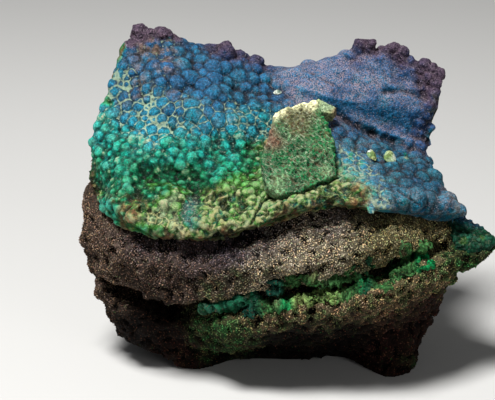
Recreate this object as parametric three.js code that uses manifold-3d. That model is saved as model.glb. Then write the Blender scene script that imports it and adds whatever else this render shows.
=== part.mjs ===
// Cornetite cluster: a hand specimen of brown sandstone with a botryoidal blue-to-green crust.
//
// Millimetres, +Z up, origin at the middle of the flat base. The crusted face looks along -Y and up.
// The stone's skin is lofted over rails: named feature lines that run from the left end to the
// right end, each through the same eight stations. The crust shares its rails with the stone
// beneath it, so the two stay parallel with a hairline seat between them.

import * as THREE from "three";
import { ConvexGeometry } from "three/addons/geometries/ConvexGeometry.js";
import { ImprovedNoise } from "three/addons/math/ImprovedNoise.js";
import { mergeVertices } from "three/addons/utils/BufferGeometryUtils.js";
import Module from "manifold-3d";

// ---------------------------------------------------------------- driving dimensions
const SEAT_GAP = 0.3; // clearance between a piece and what it sits on
const CRUST_GAP = 0.45; // the same under the wide crust, whose seat is a net of flat facets
const SLIVER = 0.02; // edges shorter than this are closed up after a cut
const CRUST_THICKNESS = 3.2; // blue and green crust over the stone
const NAPE_THICKNESS = 2.0; // the same crust where it thins out over the back
const LINING_THICKNESS = 0.9; // malachite skin in the fissure
const TIP_CRUST_THICKNESS = 1.6; // crust on the tip of the ledge
const SLAB_DEPTH = 4.6; // how far back and how far down the broken malachite slab reaches
const FLAKE_DEPTH = 2.6; // the same for the pale flake beside it
const FRILL_REACH = 0.4; // how far the frill over the fissure climbs towards the belly rail
const FRILL_LIP = 0.4; // how much thicker that frill is along its lower lip
const FRILL_LEAN = [0, -1, -0.25]; // which way it stands out from the stone

const STATIONS = 34; // rings along the specimen
const LINING_STATIONS = 20; // rings along each skin in the fissure
const CRUST_STEPS = { face: 20, seat: 12 }; // steps over the crust's outer face and over its seat
const BACK_STEPS = 8; // steps down the broken back
const KNOB_DETAIL = 1; // how many times the faces of a knob, ball or chip are split
const WEATHERING = 0.55; // how far the broken stone wanders from its rails
const WEATHERING_SCALE = 7; // size of that wander
const CRUST_RELIEF = 0.7; // height of the low bumps on the crust
const CRUST_RELIEF_SCALE = 3.4; // size of those bumps

// Rails over the front of the stone, from the base up to the overhang under the crust.
const FRONT_RAILS = {
  foot: [[-36, -4, 4.5], [-29, -11, 3], [-19.5, -12, -1], [-10.5, -7, -1],
    [0.5, -7, -1], [12.5, -7, -1], [20.5, -16, -1], [25.5, -14, -1]],
  shin: [[-39, -7, 10], [-31, -14, 8], [-21, -12, 5.5], [-11.5, -11, 5],
    [0.5, -12, 5.5], [12, -13, 7.5], [22.5, -14, 10], [31, -10, 10.5]],
  ledgeUnder: [[-40.5, -8, 13.5], [-32.5, -15, 12.5], [-22.5, -14, 8.5], [-13, -20, 8.5],
    [-1.5, -24, 13], [11, -26, 17.5], [22.5, -26, 21.5], [33.5, -17, 22.5]],
  ledgeNose: [[-41, -8, 15.5], [-33.5, -16, 14.5], [-23.5, -15, 11], [-14, -24, 13],
    [-2, -28, 17.5], [10.5, -29, 21], [22.5, -28, 24.5], [35.5, -19, 26.5]],
  ledgeTop: [[-41.5, -8, 17.5], [-34, -15, 16], [-24, -14, 12], [-15, -24, 16],
    [-3, -28, 20.5], [10, -29, 23.5], [22, -28, 27], [33.5, -20, 29]],
  fissureFloor: [[-42.5, -7, 19.5], [-35, -11, 16], [-25, -10, 12.5], [-16, -20, 17],
    [-3, -21, 20], [10.5, -21, 22.5], [22, -20, 26.5], [32.5, -16, 29]],
  fissureDepth: [[-43, -6, 21], [-35.5, -7, 18], [-25.5, -6, 16], [-16, -14, 19.5],
    [-3.5, -10, 22], [10.5, -9, 24.5], [22, -9, 28.5], [33, -14, 29.7]],
  fissureRoof: [[-43, -7, 23], [-35, -17, 22], [-25, -21, 20], [-16, -24, 21.5],
    [-3.5, -25, 24], [9.5, -25, 26], [21.5, -24, 30], [32, -17, 30.8]],
  belly: [[-43.5, -7, 30.5], [-37, -18, 31], [-26.5, -23, 28.5], [-15, -26, 28.5],
    [-3, -28, 30.5], [8.5, -29, 32], [20, -26, 34], [31, -17, 32.5]],
  brow: [[-43.5, -4, 38], [-37.5, -14, 34.5], [-27.5, -18, 32], [-17.5, -19, 31.5],
    [-5.5, -18, 34], [7, -18, 38], [19.5, -18, 38], [31, -14, 33.7]],
};

// Rails over the outer face of the crust, from its lower lip up and just over the crest.
const CRUST_RAILS = {
  lip: [[-40, -7, 40.5], [-36.5, -17, 39], [-28.5, -23, 35.5], [-17, -24, 35],
    [-6.5, -24, 38], [7, -24, 42.5], [19.5, -23, 40.5], [35.5, -16, 37]],
  apron: [[-41.5, -4, 44.5], [-35.5, -12, 43], [-25.5, -18, 40], [-15.5, -18, 39.5],
    [-5, -17, 41.5], [6, -15, 44], [18.5, -15, 43.5], [34.5, -10, 39]],
  mound: [[-41.5, 2, 50.5], [-35.5, -5, 48], [-26, -9, 46.5], [-15.5, -8, 45.5],
    [-5, -5, 48], [6, -4, 49.5], [18.5, -7, 45.5], [28.5, -4, 42.5]],
  groove: [[-39, 6, 56], [-33.5, 1, 54], [-25, -3, 53], [-15.5, -2, 53],
    [-5.5, 2, 54], [6, 2, 53], [18.5, 2, 47], [28, 3, 43.5]],
  plate: [[-36.5, 10, 61.5], [-31.5, 6, 60.5], [-24, 4, 60], [-15.5, 5, 59],
    [-4.5, 7, 56.5], [6.5, 6, 57], [18.5, 6, 56], [31, 7, 52]],
  crest: [[-34, 14, 67], [-29.5, 13, 67.7], [-23, 13, 65], [-14, 13, 63.4],
    [-3.5, 12, 59.5], [8, 13, 61.8], [19.5, 13, 64.2], [33.5, 10, 58.5]],
  nape: [[-33.5, 18, 66], [-29.5, 18, 66], [-23, 18, 63], [-14, 18, 61],
    [-3, 17, 57], [8.5, 18, 59.8], [20, 18, 62.2], [32.5, 14, 57]],
};

// Rails down the broken back of the stone.
const BACK_RAILS = {
  shoulder: [[-36, 21, 52], [-31, 23, 53], [-23, 24, 52], [-14, 25, 51],
    [-3, 25, 48], [9, 24, 50], [20, 23, 51], [28, 18, 46]],
  rump: [[-38, 20, 30], [-32, 25, 30], [-23, 27, 28], [-13, 28, 27],
    [-2, 28, 26], [10, 27, 27], [21, 25, 28], [30, 19, 27]],
  heel: [[-32, 14, 6], [-27, 20, 3], [-20, 22, -1], [-11, 23, -1],
    [0, 23, -1], [12, 22, -1], [21, 19, -1], [27, 12, -1]],
};

// The ledge runs out past the stone's right end in a pointed tip. Its top is one tilted plane.
const TIP_OUTLINE = [[32.6, -7.5], [37, -7.6], [40, -10], [42.8, -14], [41.8, -17], [38, -19],
  [33.8, -18.5]];
const TIP_PLANE = { x: 35, y: -8, height: 34, fallForward: 0.25, fallOutward: 0.15 };
const TIP_LOW = [[32.5, -17, 23.5], [35.5, -18, 25.5], [38.5, -18, 27], [42, -15.5, 28.4],
  [31, -4, 22], [36, -6, 27], [40, -10, 28.4]];
const TIP_ROOT = [[26, -16, 23], [26, -4, 24], [26, -8, 30], [26, -17, 28]];

// Outline of the broken slab's front face and of the flake, on the crust's slope.
const SLAB_FACE = [[-2.8, -8, 56], [0.5, -7, 57.2], [5.2, -6.5, 58], [7, -9, 55], [9, -11.5, 51.5],
  [9, -15, 48], [9.3, -17, 45.8], [2, -20, 43.5], [-2, -21, 43], [-5, -20, 44.5],
  [-5.5, -17, 47], [-5, -14, 50.5]];
const FLAKE_FACE = [[5.2, -1.6, 56.6], [6.2, -0.9, 57.1], [10, -1.2, 55.3], [9.2, -2.5, 54.3],
  [6, -3, 54.8]];

// Knobs of coarser crystals grown on the crest: share of the way along it and radius.
const CREST_KNOBS = [
  [0.05, 1.5], [0.13, 1.2], [0.2, 1.5], [0.24, 1.2], [0.275, 1.1],
  [0.398, 1.4], [0.435, 1.5], [0.475, 1.4], [0.52, 1.4], [0.545, 1.1],
  [0.785, 1.1], [0.812, 1.8], [0.842, 1.4], [0.893, 1.4], [0.913, 1.4], [0.959, 1.2], [0.978, 1.2],
];
const KNOB_RISE = 0.3; // height of a knob's centre over the crest, in radii

// Small chips stuck on the crust: share of the way along the rails, from lip to nape, and half sizes.
const CHIPS = [
  { name: "white_chip", along: 0.605, up: 0.62, size: [0.95, 0.6, 0.8], color: 0xe6e6d2 },
  { name: "pale_chip_left", along: 0.84, up: 0.34, size: [1.1, 0.8, 2.1], color: 0xb9bd86 },
  { name: "pale_chip_right", along: 0.902, up: 0.35, size: [1.35, 0.8, 2.0], color: 0xb4bd7d },
];
const CHIP_TILT = -0.9; // how far a chip leans back onto the crust, in radians
const CHIP_LIFT = [0, -0.2, 0.3]; // how far its middle stands off the crust

// The stretch of the rails, from left to right, that each skin in the fissure covers.
const FLOOR_LINING_RUN = [0.5, 0.94];
const ROOF_LINING_RUN = [0.56, 0.96];

// Malachite balls that fill the left end of the fissure: centre and radius.
const VUG_BALLS = [
  [[-17.5, -22.5, 18.8], 1.7], [[-14.6, -23.6, 19.4], 1.9], [[-11.6, -24, 19.9], 1.7],
  [[-13.2, -22, 21], 1.5], [[-9.2, -23.8, 20.8], 1.5], [[-16, -21.5, 20.3], 1.5],
  [[-10.6, -22.2, 21.6], 1.3], [[-7.2, -23.6, 21.6], 1.2],
];

// ---------------------------------------------------------------- rails, rings and lofts
const noise = new ImprovedNoise();

/** A rail as a curve: station k of eight lies at t = k / 7. */
const railCurve = (points) =>
  new THREE.CatmullRomCurve3(points.map((p) => new THREE.Vector3(...p)));

const curvesOf = (rails) =>
  Object.fromEntries(Object.entries(rails).map(([name, points]) => [name, railCurve(points)]));

const front = curvesOf(FRONT_RAILS);
const crust = curvesOf(CRUST_RAILS);
const back = curvesOf(BACK_RAILS);

/** Which way the crust's slope faces, and the way into the stone under it. */
const SLOPE_OUT = new THREE.Vector3(0, -0.62, 0.78);
const SLOPE_IN = SLOPE_OUT.clone().negate();

/** How far and which way the crust reaches into the stone below each of its rails. */
const INWARD = {
  apron: [SLOPE_IN, CRUST_THICKNESS],
  mound: [SLOPE_IN, CRUST_THICKNESS],
  groove: [SLOPE_IN, CRUST_THICKNESS],
  plate: [new THREE.Vector3(0, 0.6, -0.8), CRUST_THICKNESS],
  crest: [new THREE.Vector3(0, 0.1, -1), CRUST_THICKNESS],
  nape: [new THREE.Vector3(0, -0.55, -0.84), NAPE_THICKNESS],
};

/** A point of a crust rail, moved into the stone by the crust's thickness and an extra depth. */
function under(name, t, extra) {
  const [direction, thickness] = INWARD[name];
  return crust[name].getPoint(t).addScaledVector(direction, thickness + extra);
}

/** Points along straight runs between corners, each run cut into the same number of steps. */
function straightRuns(corners, steps) {
  const points = [];
  for (let i = 0; i + 1 < corners.length; i += 1)
    for (let k = 0; k < steps; k += 1)
      points.push(corners[i].clone().lerp(corners[i + 1], k / steps));
  points.push(corners.at(-1).clone());
  return points;
}

/** Points along a smooth curve through corners. */
const smoothRun = (corners, count) => new THREE.CatmullRomCurve3(corners).getPoints(count);

/** Moves a point by a slow wander, the same for every piece that passes there, and flattens the base. */
function weathered(p) {
  const s = 1 / WEATHERING_SCALE;
  const wander = (o) => noise.noise(p.x * s + o, p.y * s + 2 * o, p.z * s - o) * 2 * WEATHERING;
  const z = p.z <= 0 ? 0 : Math.max(0, p.z + wander(71.7));
  return new THREE.Vector3(p.x + wander(11.3), p.y + wander(37.1), z);
}

/** Lifts a point on the crust's outer face by a low, rounded bump. */
function bumped(p) {
  const s = 1 / CRUST_RELIEF_SCALE;
  const height = CRUST_RELIEF * (1 - 2 * Math.abs(noise.noise(p.x * s, p.y * s, p.z * s)));
  return p.clone().addScaledVector(SLOPE_OUT, height);
}

/** Triangles that close a ring and run the same way round as it does. */
function cap(ring, start) {
  const flat = ring.map((p) => new THREE.Vector2(p.y, p.z));
  const { area, triangulateShape } = THREE.ShapeUtils;
  return triangulateShape(flat, []).map((corners) => {
    const sameWay = area(corners.map((i) => flat[i])) * area(flat) > 0;
    return (sameWay ? corners : corners.toReversed()).map((i) => start + i);
  });
}

/** A closed solid over closed rings of equal length, with a cap at each end. */
function loft(rings) {
  const count = rings[0].length;
  const faces = [];
  for (let i = 0; i + 1 < rings.length; i += 1)
    for (let j = 0; j < count; j += 1) {
      const a = i * count + j;
      const b = i * count + ((j + 1) % count);
      faces.push(a, b, b + count, a, b + count, a + count);
    }
  const firstCap = cap(rings[0], 0).map((corners) => corners.reverse());
  const lastCap = cap(rings.at(-1), (rings.length - 1) * count);
  const geometry = new THREE.BufferGeometry().setFromPoints(rings.flat());
  geometry.setIndex([...faces, ...firstCap.flat(), ...lastCap.flat()]);
  return signedVolume(geometry) < 0 ? flipped(geometry) : geometry;
}

/** The volume inside a closed geometry, negative where its faces look inwards. */
function signedVolume(geometry) {
  const position = geometry.getAttribute("position");
  const index = geometry.index.array;
  const [a, b, c] = [new THREE.Vector3(), new THREE.Vector3(), new THREE.Vector3()];
  let volume = 0;
  for (let i = 0; i < index.length; i += 3) {
    a.fromBufferAttribute(position, index[i]);
    b.fromBufferAttribute(position, index[i + 1]);
    c.fromBufferAttribute(position, index[i + 2]);
    volume += a.dot(b.cross(c)) / 6;
  }
  return volume;
}

/** A geometry with every face turned over. */
function flipped(geometry) {
  const index = Array.from(geometry.index.array);
  for (let i = 0; i < index.length; i += 3) [index[i + 1], index[i + 2]] = [index[i + 2], index[i + 1]];
  geometry.setIndex(index);
  return geometry;
}

/** Rings at even steps between two shares of the rails' length. */
const ringsAlong = (ringAt, [from, to] = [0, 1], count = STATIONS) =>
  Array.from({ length: count + 1 }, (_, i) => ringAt(from + ((to - from) * i) / count));

// ---------------------------------------------------------------- solids
const wasm = await Module();
wasm.setup();

/** A closed geometry as a solid that can be joined and cut. */
function solid(geometry) {
  const bare = geometry.clone();
  bare.deleteAttribute("normal");
  bare.deleteAttribute("uv");
  const merged = mergeVertices(bare, 1e-3);
  return new wasm.Manifold(
    new wasm.Mesh({
      numProp: 3,
      vertProperties: new Float32Array(merged.attributes.position.array),
      triVerts: new Uint32Array(merged.index.array),
    }),
  );
}

/** The largest body of a solid, without the slivers that a cut can leave. */
function largest(body) {
  const whole = body.decompose().reduce((best, next) => (next.volume() > best.volume() ? next : best));
  return whole.asOriginal().simplify(SLIVER);
}

/** A solid's surface as a geometry. */
function geometryOf(body) {
  const mesh = body.getMesh();
  const position = new Float32Array(mesh.numVert * 3);
  for (let i = 0; i < mesh.numVert; i += 1)
    position.set(mesh.vertProperties.subarray(i * mesh.numProp, i * mesh.numProp + 3), i * 3);
  const geometry = new THREE.BufferGeometry();
  geometry.setAttribute("position", new THREE.BufferAttribute(position, 3));
  geometry.setIndex(new THREE.BufferAttribute(new Uint32Array(mesh.triVerts), 1));
  return geometry;
}

/** body with other cut out of it, and a clearance of SEAT_GAP round it on the sides given. */
function seatedOn(body, other, sides) {
  return sides.reduce((left, side) => left.subtract(other.translate(side.map((c) => c * SEAT_GAP))), body);
}

const hull = (points) => solid(new ConvexGeometry(points.map((p) => new THREE.Vector3(...p))));

/** A convex plate: an outline and the same outline moved by an offset. */
const plate = (outline, offset) =>
  hull([...outline, ...outline.map((p) => p.map((c, i) => c + offset[i]))]);

/** The stone's ring: front, seat under the crust, back and base. */
function stoneRing(t) {
  const rails = Object.values(front).map((curve) => curve.getPoint(t));
  const seat = Object.keys(INWARD).map((name) => under(name, t, CRUST_GAP));
  const rear = Object.values(back).map((curve) => curve.getPoint(t));
  const face = straightRuns(rails, 2);
  const top = smoothRun([rails.at(-1), ...seat], CRUST_STEPS.seat).slice(1);
  const behind = smoothRun([seat.at(-1), ...rear], BACK_STEPS).slice(1);
  const base = straightRuns([rear.at(-1), rails[0]], 4).slice(1, -1);
  return [...face, ...top, ...behind, ...base].map(weathered);
}

/** The crust's ring: its outer face, and its underside parallel to the stone's seat. */
function crustRing(t) {
  const outer = smoothRun(Object.values(crust).map((curve) => curve.getPoint(t)), CRUST_STEPS.face);
  const browSeat = front.brow.getPoint(t).addScaledVector(SLOPE_OUT, CRUST_GAP);
  const seat = Object.keys(INWARD).map((name) => under(name, t, 0));
  const inner = smoothRun([browSeat, ...seat], CRUST_STEPS.seat);
  const last = outer.length - 1;
  const face = outer.map((p, i) => (i > 0 && i < last ? bumped(p) : p));
  return [...inner, ...face.reverse()].map(weathered);
}

/** The malachite skin on the ledge, inside the fissure's mouth. */
function floorLiningRing(t) {
  const edge = front.ledgeTop.getPoint(t);
  const inside = front.fissureFloor.getPoint(t);
  const lift = (p, height) => p.clone().add(new THREE.Vector3(0, 0, height));
  const top = SEAT_GAP + LINING_THICKNESS;
  return [
    ...straightRuns([lift(edge, SEAT_GAP), lift(inside, SEAT_GAP)], 2),
    ...straightRuns([lift(inside, top), lift(edge, top)], 2),
  ].map(weathered);
}

/** The malachite frill on the face above the fissure's mouth. */
function roofLiningRing(t) {
  const edge = front.fissureRoof.getPoint(t);
  const above = edge.clone().lerp(front.belly.getPoint(t), FRILL_REACH);
  const lean = new THREE.Vector3(...FRILL_LEAN);
  const out = (p, distance) => p.clone().addScaledVector(lean, distance);
  const face = SEAT_GAP + LINING_THICKNESS;
  return [
    ...straightRuns([out(edge, SEAT_GAP), out(above, SEAT_GAP)], 2),
    ...straightRuns([out(above, face), out(edge, face + FRILL_LIP)], 2),
  ].map(weathered);
}

/** Points of the ledge tip's outline, some depth below the tilted plane of its top. */
function tipPoints(depth) {
  const { height, fallForward, fallOutward } = TIP_PLANE;
  const top = (x, y) => height + fallForward * (y - TIP_PLANE.y) - fallOutward * (x - TIP_PLANE.x);
  return TIP_OUTLINE.map(([x, y]) => [x, y, top(x, y) - depth]);
}

/** The crust with its knobs grown on. */
function makeCrust() {
  const knobs = CREST_KNOBS.map(([t, radius]) => {
    const seat = weathered(crust.crest.getPoint(t));
    const ball = new THREE.IcosahedronGeometry(radius, KNOB_DETAIL);
    return solid(ball.translate(seat.x, seat.y, seat.z + KNOB_RISE * radius));
  });
  return largest(knobs.reduce((joined, knob) => joined.add(knob), solid(loft(ringsAlong(crustRing)))));
}

/** The stone, with the tip of the ledge grown out of its right end. */
function makeStone() {
  const body = solid(loft(ringsAlong(stoneRing)));
  const tip = hull([...tipPoints(TIP_CRUST_THICKNESS + SEAT_GAP), ...TIP_LOW, ...TIP_ROOT]);
  return largest(body.add(tip));
}

const mainCrust = makeCrust();
const stone = makeStone();

// Which ways a cut is widened to leave a clearance.
const ALL_ROUND = [[0, 0, 0], [0, -1, 0], [0, 0, 1], [0, 0, -1], [1, 0, 0], [-1, 0, 0]];
const ON_TOP = [[0, 0, 0], [0, -0.7, 0.8], [0, 0, 1]];
const AT_RIGHT = [[0, 0, 0], [0, -1, 0], [1, 0, 0]];

const tipCrust = largest(
  seatedOn(hull([...tipPoints(0), ...tipPoints(TIP_CRUST_THICKNESS)]), stone, AT_RIGHT),
);
const slab = largest(seatedOn(plate(SLAB_FACE, [0, SLAB_DEPTH, -SLAB_DEPTH]), mainCrust, ON_TOP));
const flake = largest(
  seatedOn(
    seatedOn(plate(FLAKE_FACE, [0, FLAKE_DEPTH, -FLAKE_DEPTH]), mainCrust, ON_TOP),
    slab,
    ALL_ROUND,
  ),
);

/** A skin in the fissure, over one stretch of the rails. */
const lining = (ringAt, run) =>
  largest(seatedOn(solid(loft(ringsAlong(ringAt, run, LINING_STATIONS))), stone, ALL_ROUND));

const floorLining = lining(floorLiningRing, FLOOR_LINING_RUN);
const roofLining = lining(roofLiningRing, ROOF_LINING_RUN);

/** The balls in the fissure's left end, grown together and clear of the stone and both skins. */
function makeVug() {
  const balls = VUG_BALLS.map(([centre, radius]) =>
    solid(new THREE.IcosahedronGeometry(radius, KNOB_DETAIL).translate(...centre)),
  );
  const grown = balls.reduce((joined, ball) => joined.add(ball));
  const neighbours = [stone, floorLining, roofLining];
  return largest(neighbours.reduce((left, other) => seatedOn(left, other, ALL_ROUND), grown));
}

/** A small chip lying on the crust, cut flat where it sits. */
function chip({ along, up, size }) {
  const line = new THREE.CatmullRomCurve3(Object.values(crust).map((curve) => curve.getPoint(along)));
  const place = weathered(bumped(line.getPoint(up))).add(new THREE.Vector3(...CHIP_LIFT));
  const shape = new THREE.IcosahedronGeometry(1, KNOB_DETAIL).scale(...size).rotateX(CHIP_TILT);
  shape.translate(place.x, place.y, place.z);
  return largest(seatedOn(solid(shape), mainCrust, ON_TOP));
}

// ---------------------------------------------------------------- the specimen
const specimen = new THREE.Group();
specimen.name = "cornetite_cluster";

function addPiece(name, body, color, roughness = 0.85) {
  const material = new THREE.MeshStandardMaterial({ color, roughness, metalness: 0 });
  const mesh = new THREE.Mesh(geometryOf(body), material);
  mesh.name = name;
  mesh.geometry.computeVertexNormals();
  specimen.add(mesh);
}

addPiece("sandstone_matrix", stone, 0x5d4c3e, 0.95);
addPiece("cornetite_crust", mainCrust, 0x1f4f73, 0.6);
addPiece("malachite_slab", slab, 0x2c6e45, 0.75);
addPiece("pale_flake", flake, 0xc9cf9c, 0.8);
addPiece("tip_crust", tipCrust, 0x12655d, 0.6);
addPiece("fissure_floor_lining", floorLining, 0x3d8351, 0.7);
addPiece("fissure_roof_lining", roofLining, 0x2f7f4c, 0.7);
addPiece("vug_botryoids", makeVug(), 0x1c7264, 0.65);
for (const made of CHIPS) addPiece(made.name, chip(made), made.color, 0.7);

export default specimen;
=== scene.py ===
"""Cornetite cluster: the finished surfaces of a botryoidal blue and green crust on brown sandstone.

Lengths are in millimetres and angles in radians, unless something else is said.
"""

import logging
import math
import random
from dataclasses import dataclass, field
from enum import Enum
from functools import reduce
from typing import Iterable, Sequence

import bmesh
import bpy
import numpy as np
from bpy.types import ID, Material, Mesh, Node, NodeTree, Object
from bpy.types import NodeSocket as Socket
from mathutils import Matrix, Vector, kdtree, noise
from mathutils.bvhtree import BVHTree


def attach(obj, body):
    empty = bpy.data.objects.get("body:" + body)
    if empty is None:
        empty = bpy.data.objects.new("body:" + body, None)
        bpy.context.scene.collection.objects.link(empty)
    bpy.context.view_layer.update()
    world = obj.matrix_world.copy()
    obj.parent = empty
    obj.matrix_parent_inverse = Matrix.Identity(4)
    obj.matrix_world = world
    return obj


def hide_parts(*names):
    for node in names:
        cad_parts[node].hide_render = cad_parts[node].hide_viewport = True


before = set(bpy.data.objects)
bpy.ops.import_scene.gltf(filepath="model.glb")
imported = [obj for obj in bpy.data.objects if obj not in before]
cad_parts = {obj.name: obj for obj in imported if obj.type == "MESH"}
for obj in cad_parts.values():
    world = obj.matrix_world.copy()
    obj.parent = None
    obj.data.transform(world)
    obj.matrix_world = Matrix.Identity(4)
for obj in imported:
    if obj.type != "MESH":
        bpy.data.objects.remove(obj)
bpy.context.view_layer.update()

MM = 0.001
WANDER_SEED = 2  # fixes how the borders between kinds of surface wander
LOG = logging.getLogger("specimen")

Array = np.ndarray
Triple = tuple[float, float, float]
Colour = tuple[float, float, float, float]
Series = Sequence[tuple[float, Colour]]  # places from 0 to 1 and the colours there
Spot = Triple  # across, up and reach or radius on the display face
SpotMap = dict[Enum, Sequence[Spot]]
Feed = Socket | float | tuple  # what a socket is fed with: another socket, or a constant
Feeds = dict[int | str, Feed]  # the feeds of a node's inputs by their numbers or names
Setting = str | bool | ID  # the value of a node's property


def linear(values: Array) -> Array:
    """Display values from 0 to 255 as linear light."""
    share = np.asarray(values, float) / 255
    return np.where(share < 0.04, share / 12.92, ((share + 0.055) / 1.055) ** 2.4)


def srgb(red: int, green: int, blue: int) -> Colour:
    """The linear colour of three display values from 0 to 255."""
    return (*(float(v) for v in linear(np.array([red, green, blue]))), 1.0)


def smoothstep(low: float, high: float, values: Array) -> Array:
    """Values eased from 0 at low to 1 at high."""
    t = np.clip((values - low) / (high - low), 0, 1)
    return t * t * (3 - 2 * t)


# ---- where things lie on the display face
@dataclass(frozen=True)
class DisplayView:
    """The viewpoint in front of the specimen, and the upright picture plane through its middle.

    A place on that plane is given as (across, up) in millimetres: across is the frame's X, and up is
    measured square to the line of sight from the height of the specimen's base.

    Attributes:
        elevation: How far the line of sight looks down.
        distance: From the viewpoint to the middle.
        middle: Where the line of sight meets the picture plane.
        lens: The camera's focal length.
        sensor: The camera's sensor width.
        search: How far in front of the plane and behind it a near miss is looked for.
    """

    elevation: float = math.radians(20)
    distance: float = 354.1
    middle: Triple = (-8.69, 0.0, 34.2)
    lens: float = 120.0
    sensor: float = 36.0
    search: range = range(-40, 41, 2)

    @property
    def back(self) -> Vector:
        """Unit vector from the specimen towards the viewer."""
        return Vector((0, -math.cos(self.elevation), math.sin(self.elevation)))

    @property
    def upward(self) -> Vector:
        """Unit vector that runs up the picture plane."""
        return Vector((0, math.sin(self.elevation), math.cos(self.elevation)))

    @property
    def eye(self) -> Vector:
        """The viewpoint."""
        return Vector(self.middle) + self.distance * self.back

    def place(self, across: float, up: float) -> Vector:
        """The point of the picture plane at (across, up)."""
        middle = Vector(self.middle)
        return middle + (across - middle.x) * Vector((1, 0, 0)) + (up - middle.dot(self.upward)) * self.upward

    def flatten(self, points: Array) -> Array:
        """Where points are seen on the picture plane.

        Args:
            points: An array of n points.

        Returns:
            An array of n (across, up) pairs.
        """
        ray = points - np.array(self.eye)
        depth = -(ray @ np.array(self.back))
        seen = np.array(self.eye) + ray * (self.distance / depth)[:, None]
        return np.column_stack([seen[:, 0], seen @ np.array(self.upward)])

    def strike(self, surface: BVHTree, across: float, up: float) -> tuple[Vector, Vector]:
        """The point of a surface that lies behind (across, up), or the nearest one to that line.

        Args:
            surface: The surface.
            across: Distance across the picture plane.
            up: Distance up the picture plane.

        Returns:
            The point and the surface's normal there.
        """
        heading = (self.place(across, up) - self.eye).normalized()
        point, normal, _, _ = surface.ray_cast(self.eye, heading)
        if point is None:
            steps = (self.eye + heading * (self.distance + step) for step in self.search)
            found = [surface.find_nearest(step) for step in steps]
            point, normal, _, _ = min(found, key=lambda hit: hit[3])
        return point, normal


VIEW = DisplayView()


class FieldMap:
    """Blends the values of named kinds of surface between the spots where each is found."""

    broad_drift = 4.5  # size of the broad bends in a border
    fine_drift = 1.7  # size of the fine bends
    fine_share = 0.4  # how far the fine bends stray beside the broad ones

    def __init__(self, spots: SpotMap, wander: float = 1.3) -> None:
        """Collects the spots.

        Args:
            spots: Spots of each member of an Enum whose values are dataclasses of numbers.
            wander: How far the borders between kinds stray.
        """
        rows = [(kind.value, spot) for kind, placed in spots.items() for spot in placed]
        self.names = list(vars(rows[0][0]))
        self.centres = np.array([spot[:2] for _, spot in rows], float)
        self.reach = np.array([spot[2] for _, spot in rows], float)
        self.values = np.array([[getattr(kind, name) for name in self.names] for kind, _ in rows], float)
        self.wander = wander

    def strayed(self, points: Array) -> Array:
        """Finds where points count as lying on the display face, once the borders wander.

        Args:
            points: An array of n points.

        Returns:
            An array of n (across, up) pairs.
        """
        broad, fine = (
            np.array([noise.noise_vector(Vector(p) / size) for p in points])[:, :2]
            for size in (self.broad_drift, self.fine_drift)
        )
        return VIEW.flatten(points) + (broad + self.fine_share * fine) * self.wander

    def sample(self, points: Array) -> dict[str, Array]:
        """The blended value of every quantity at points.

        Args:
            points: An array of n points.

        Returns:
            An array of n values for each quantity's name.
        """
        flat = self.strayed(points)
        total = np.zeros((len(points), len(self.names)))
        share = np.zeros(len(points))
        gap = [((flat - centre) ** 2).sum(1) / (2 * r * r) for centre, r in zip(self.centres, self.reach)]
        least = np.minimum.reduce(gap)
        for square, values in zip(gap, self.values):
            weight = np.exp(least - square)
            total += weight[:, None] * values
            share += weight
        return dict(zip(self.names, (total / share[:, None]).T))


# ---- meshes
def read(items: bpy.types.bpy_prop_collection, key: str, width: int, kind: type = float) -> Array:
    """Reads one property of every item of a collection.

    Args:
        items: A mesh's vertices, normals or edges.
        key: The property's name.
        width: How many numbers it holds for an item.
        kind: Type of the numbers.

    Returns:
        An array with a row for each item.
    """
    flat = np.empty(len(items) * width, kind)
    items.foreach_get(key, flat)
    return flat.reshape(-1, width)


def coordinates(mesh: Mesh) -> Array:
    """A mesh's vertices as an array."""
    return read(mesh.vertices, "co", 3) / MM


def normals(mesh: Mesh) -> Array:
    """A mesh's vertex normals as an array."""
    return read(mesh.vertex_normals, "vector", 3)


def edge_ends(mesh: Mesh) -> Array:
    """The two vertices of each of a mesh's edges."""
    return read(mesh.edges, "vertices", 2, int)


def triangles(mesh: Mesh) -> int:
    """How many triangles a mesh has."""
    mesh.calc_loop_triangles()
    return len(mesh.loop_triangles)


def set_coordinates(mesh: Mesh, points: Array) -> None:
    """Moves a mesh's vertices to points."""
    mesh.vertices.foreach_set("co", (points * MM).ravel())
    mesh.update()


def evened(mesh: Mesh, values: Array, rounds: int) -> Array:
    """Averages values of a mesh's vertices with their neighbours'.

    Args:
        mesh: The mesh.
        values: One number or one row of numbers for each vertex.
        rounds: How many times they are averaged.

    Returns:
        The evened values.
    """
    one, two = edge_ends(mesh).T
    count = np.bincount(one, minlength=len(values)) + np.bincount(two, minlength=len(values))
    result = values.reshape(len(values), -1).copy()
    for _ in range(rounds):
        for k in range(result.shape[1]):
            column = result[:, k]
            around = np.bincount(one, column[two], len(column)) + np.bincount(two, column[one], len(column))
            result[:, k] = 0.5 * column + 0.5 * around / np.maximum(count, 1)
    return result.reshape(values.shape)


def ridges(mesh: Mesh, rounds: int = 12) -> Array:
    """How far each vertex stands over its smoothed surroundings."""
    points = coordinates(mesh)
    return ((points - evened(mesh, points, rounds)) * normals(mesh)).sum(1)


def store(mesh: Mesh, **values: Array) -> None:
    """Keeps attributes on a mesh.

    Args:
        mesh: The mesh.
        **values: For each attribute, one number or one colour for every vertex.
    """
    for name, data in values.items():
        kind, key = ("FLOAT", "value") if data.ndim == 1 else ("FLOAT_COLOR", "color")
        full = data if data.ndim == 1 else np.column_stack([data, np.ones(len(data))])
        layer = mesh.attributes.new(name, kind, "POINT")
        layer.data.foreach_set(key, full.astype(np.float32).ravel())


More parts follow.
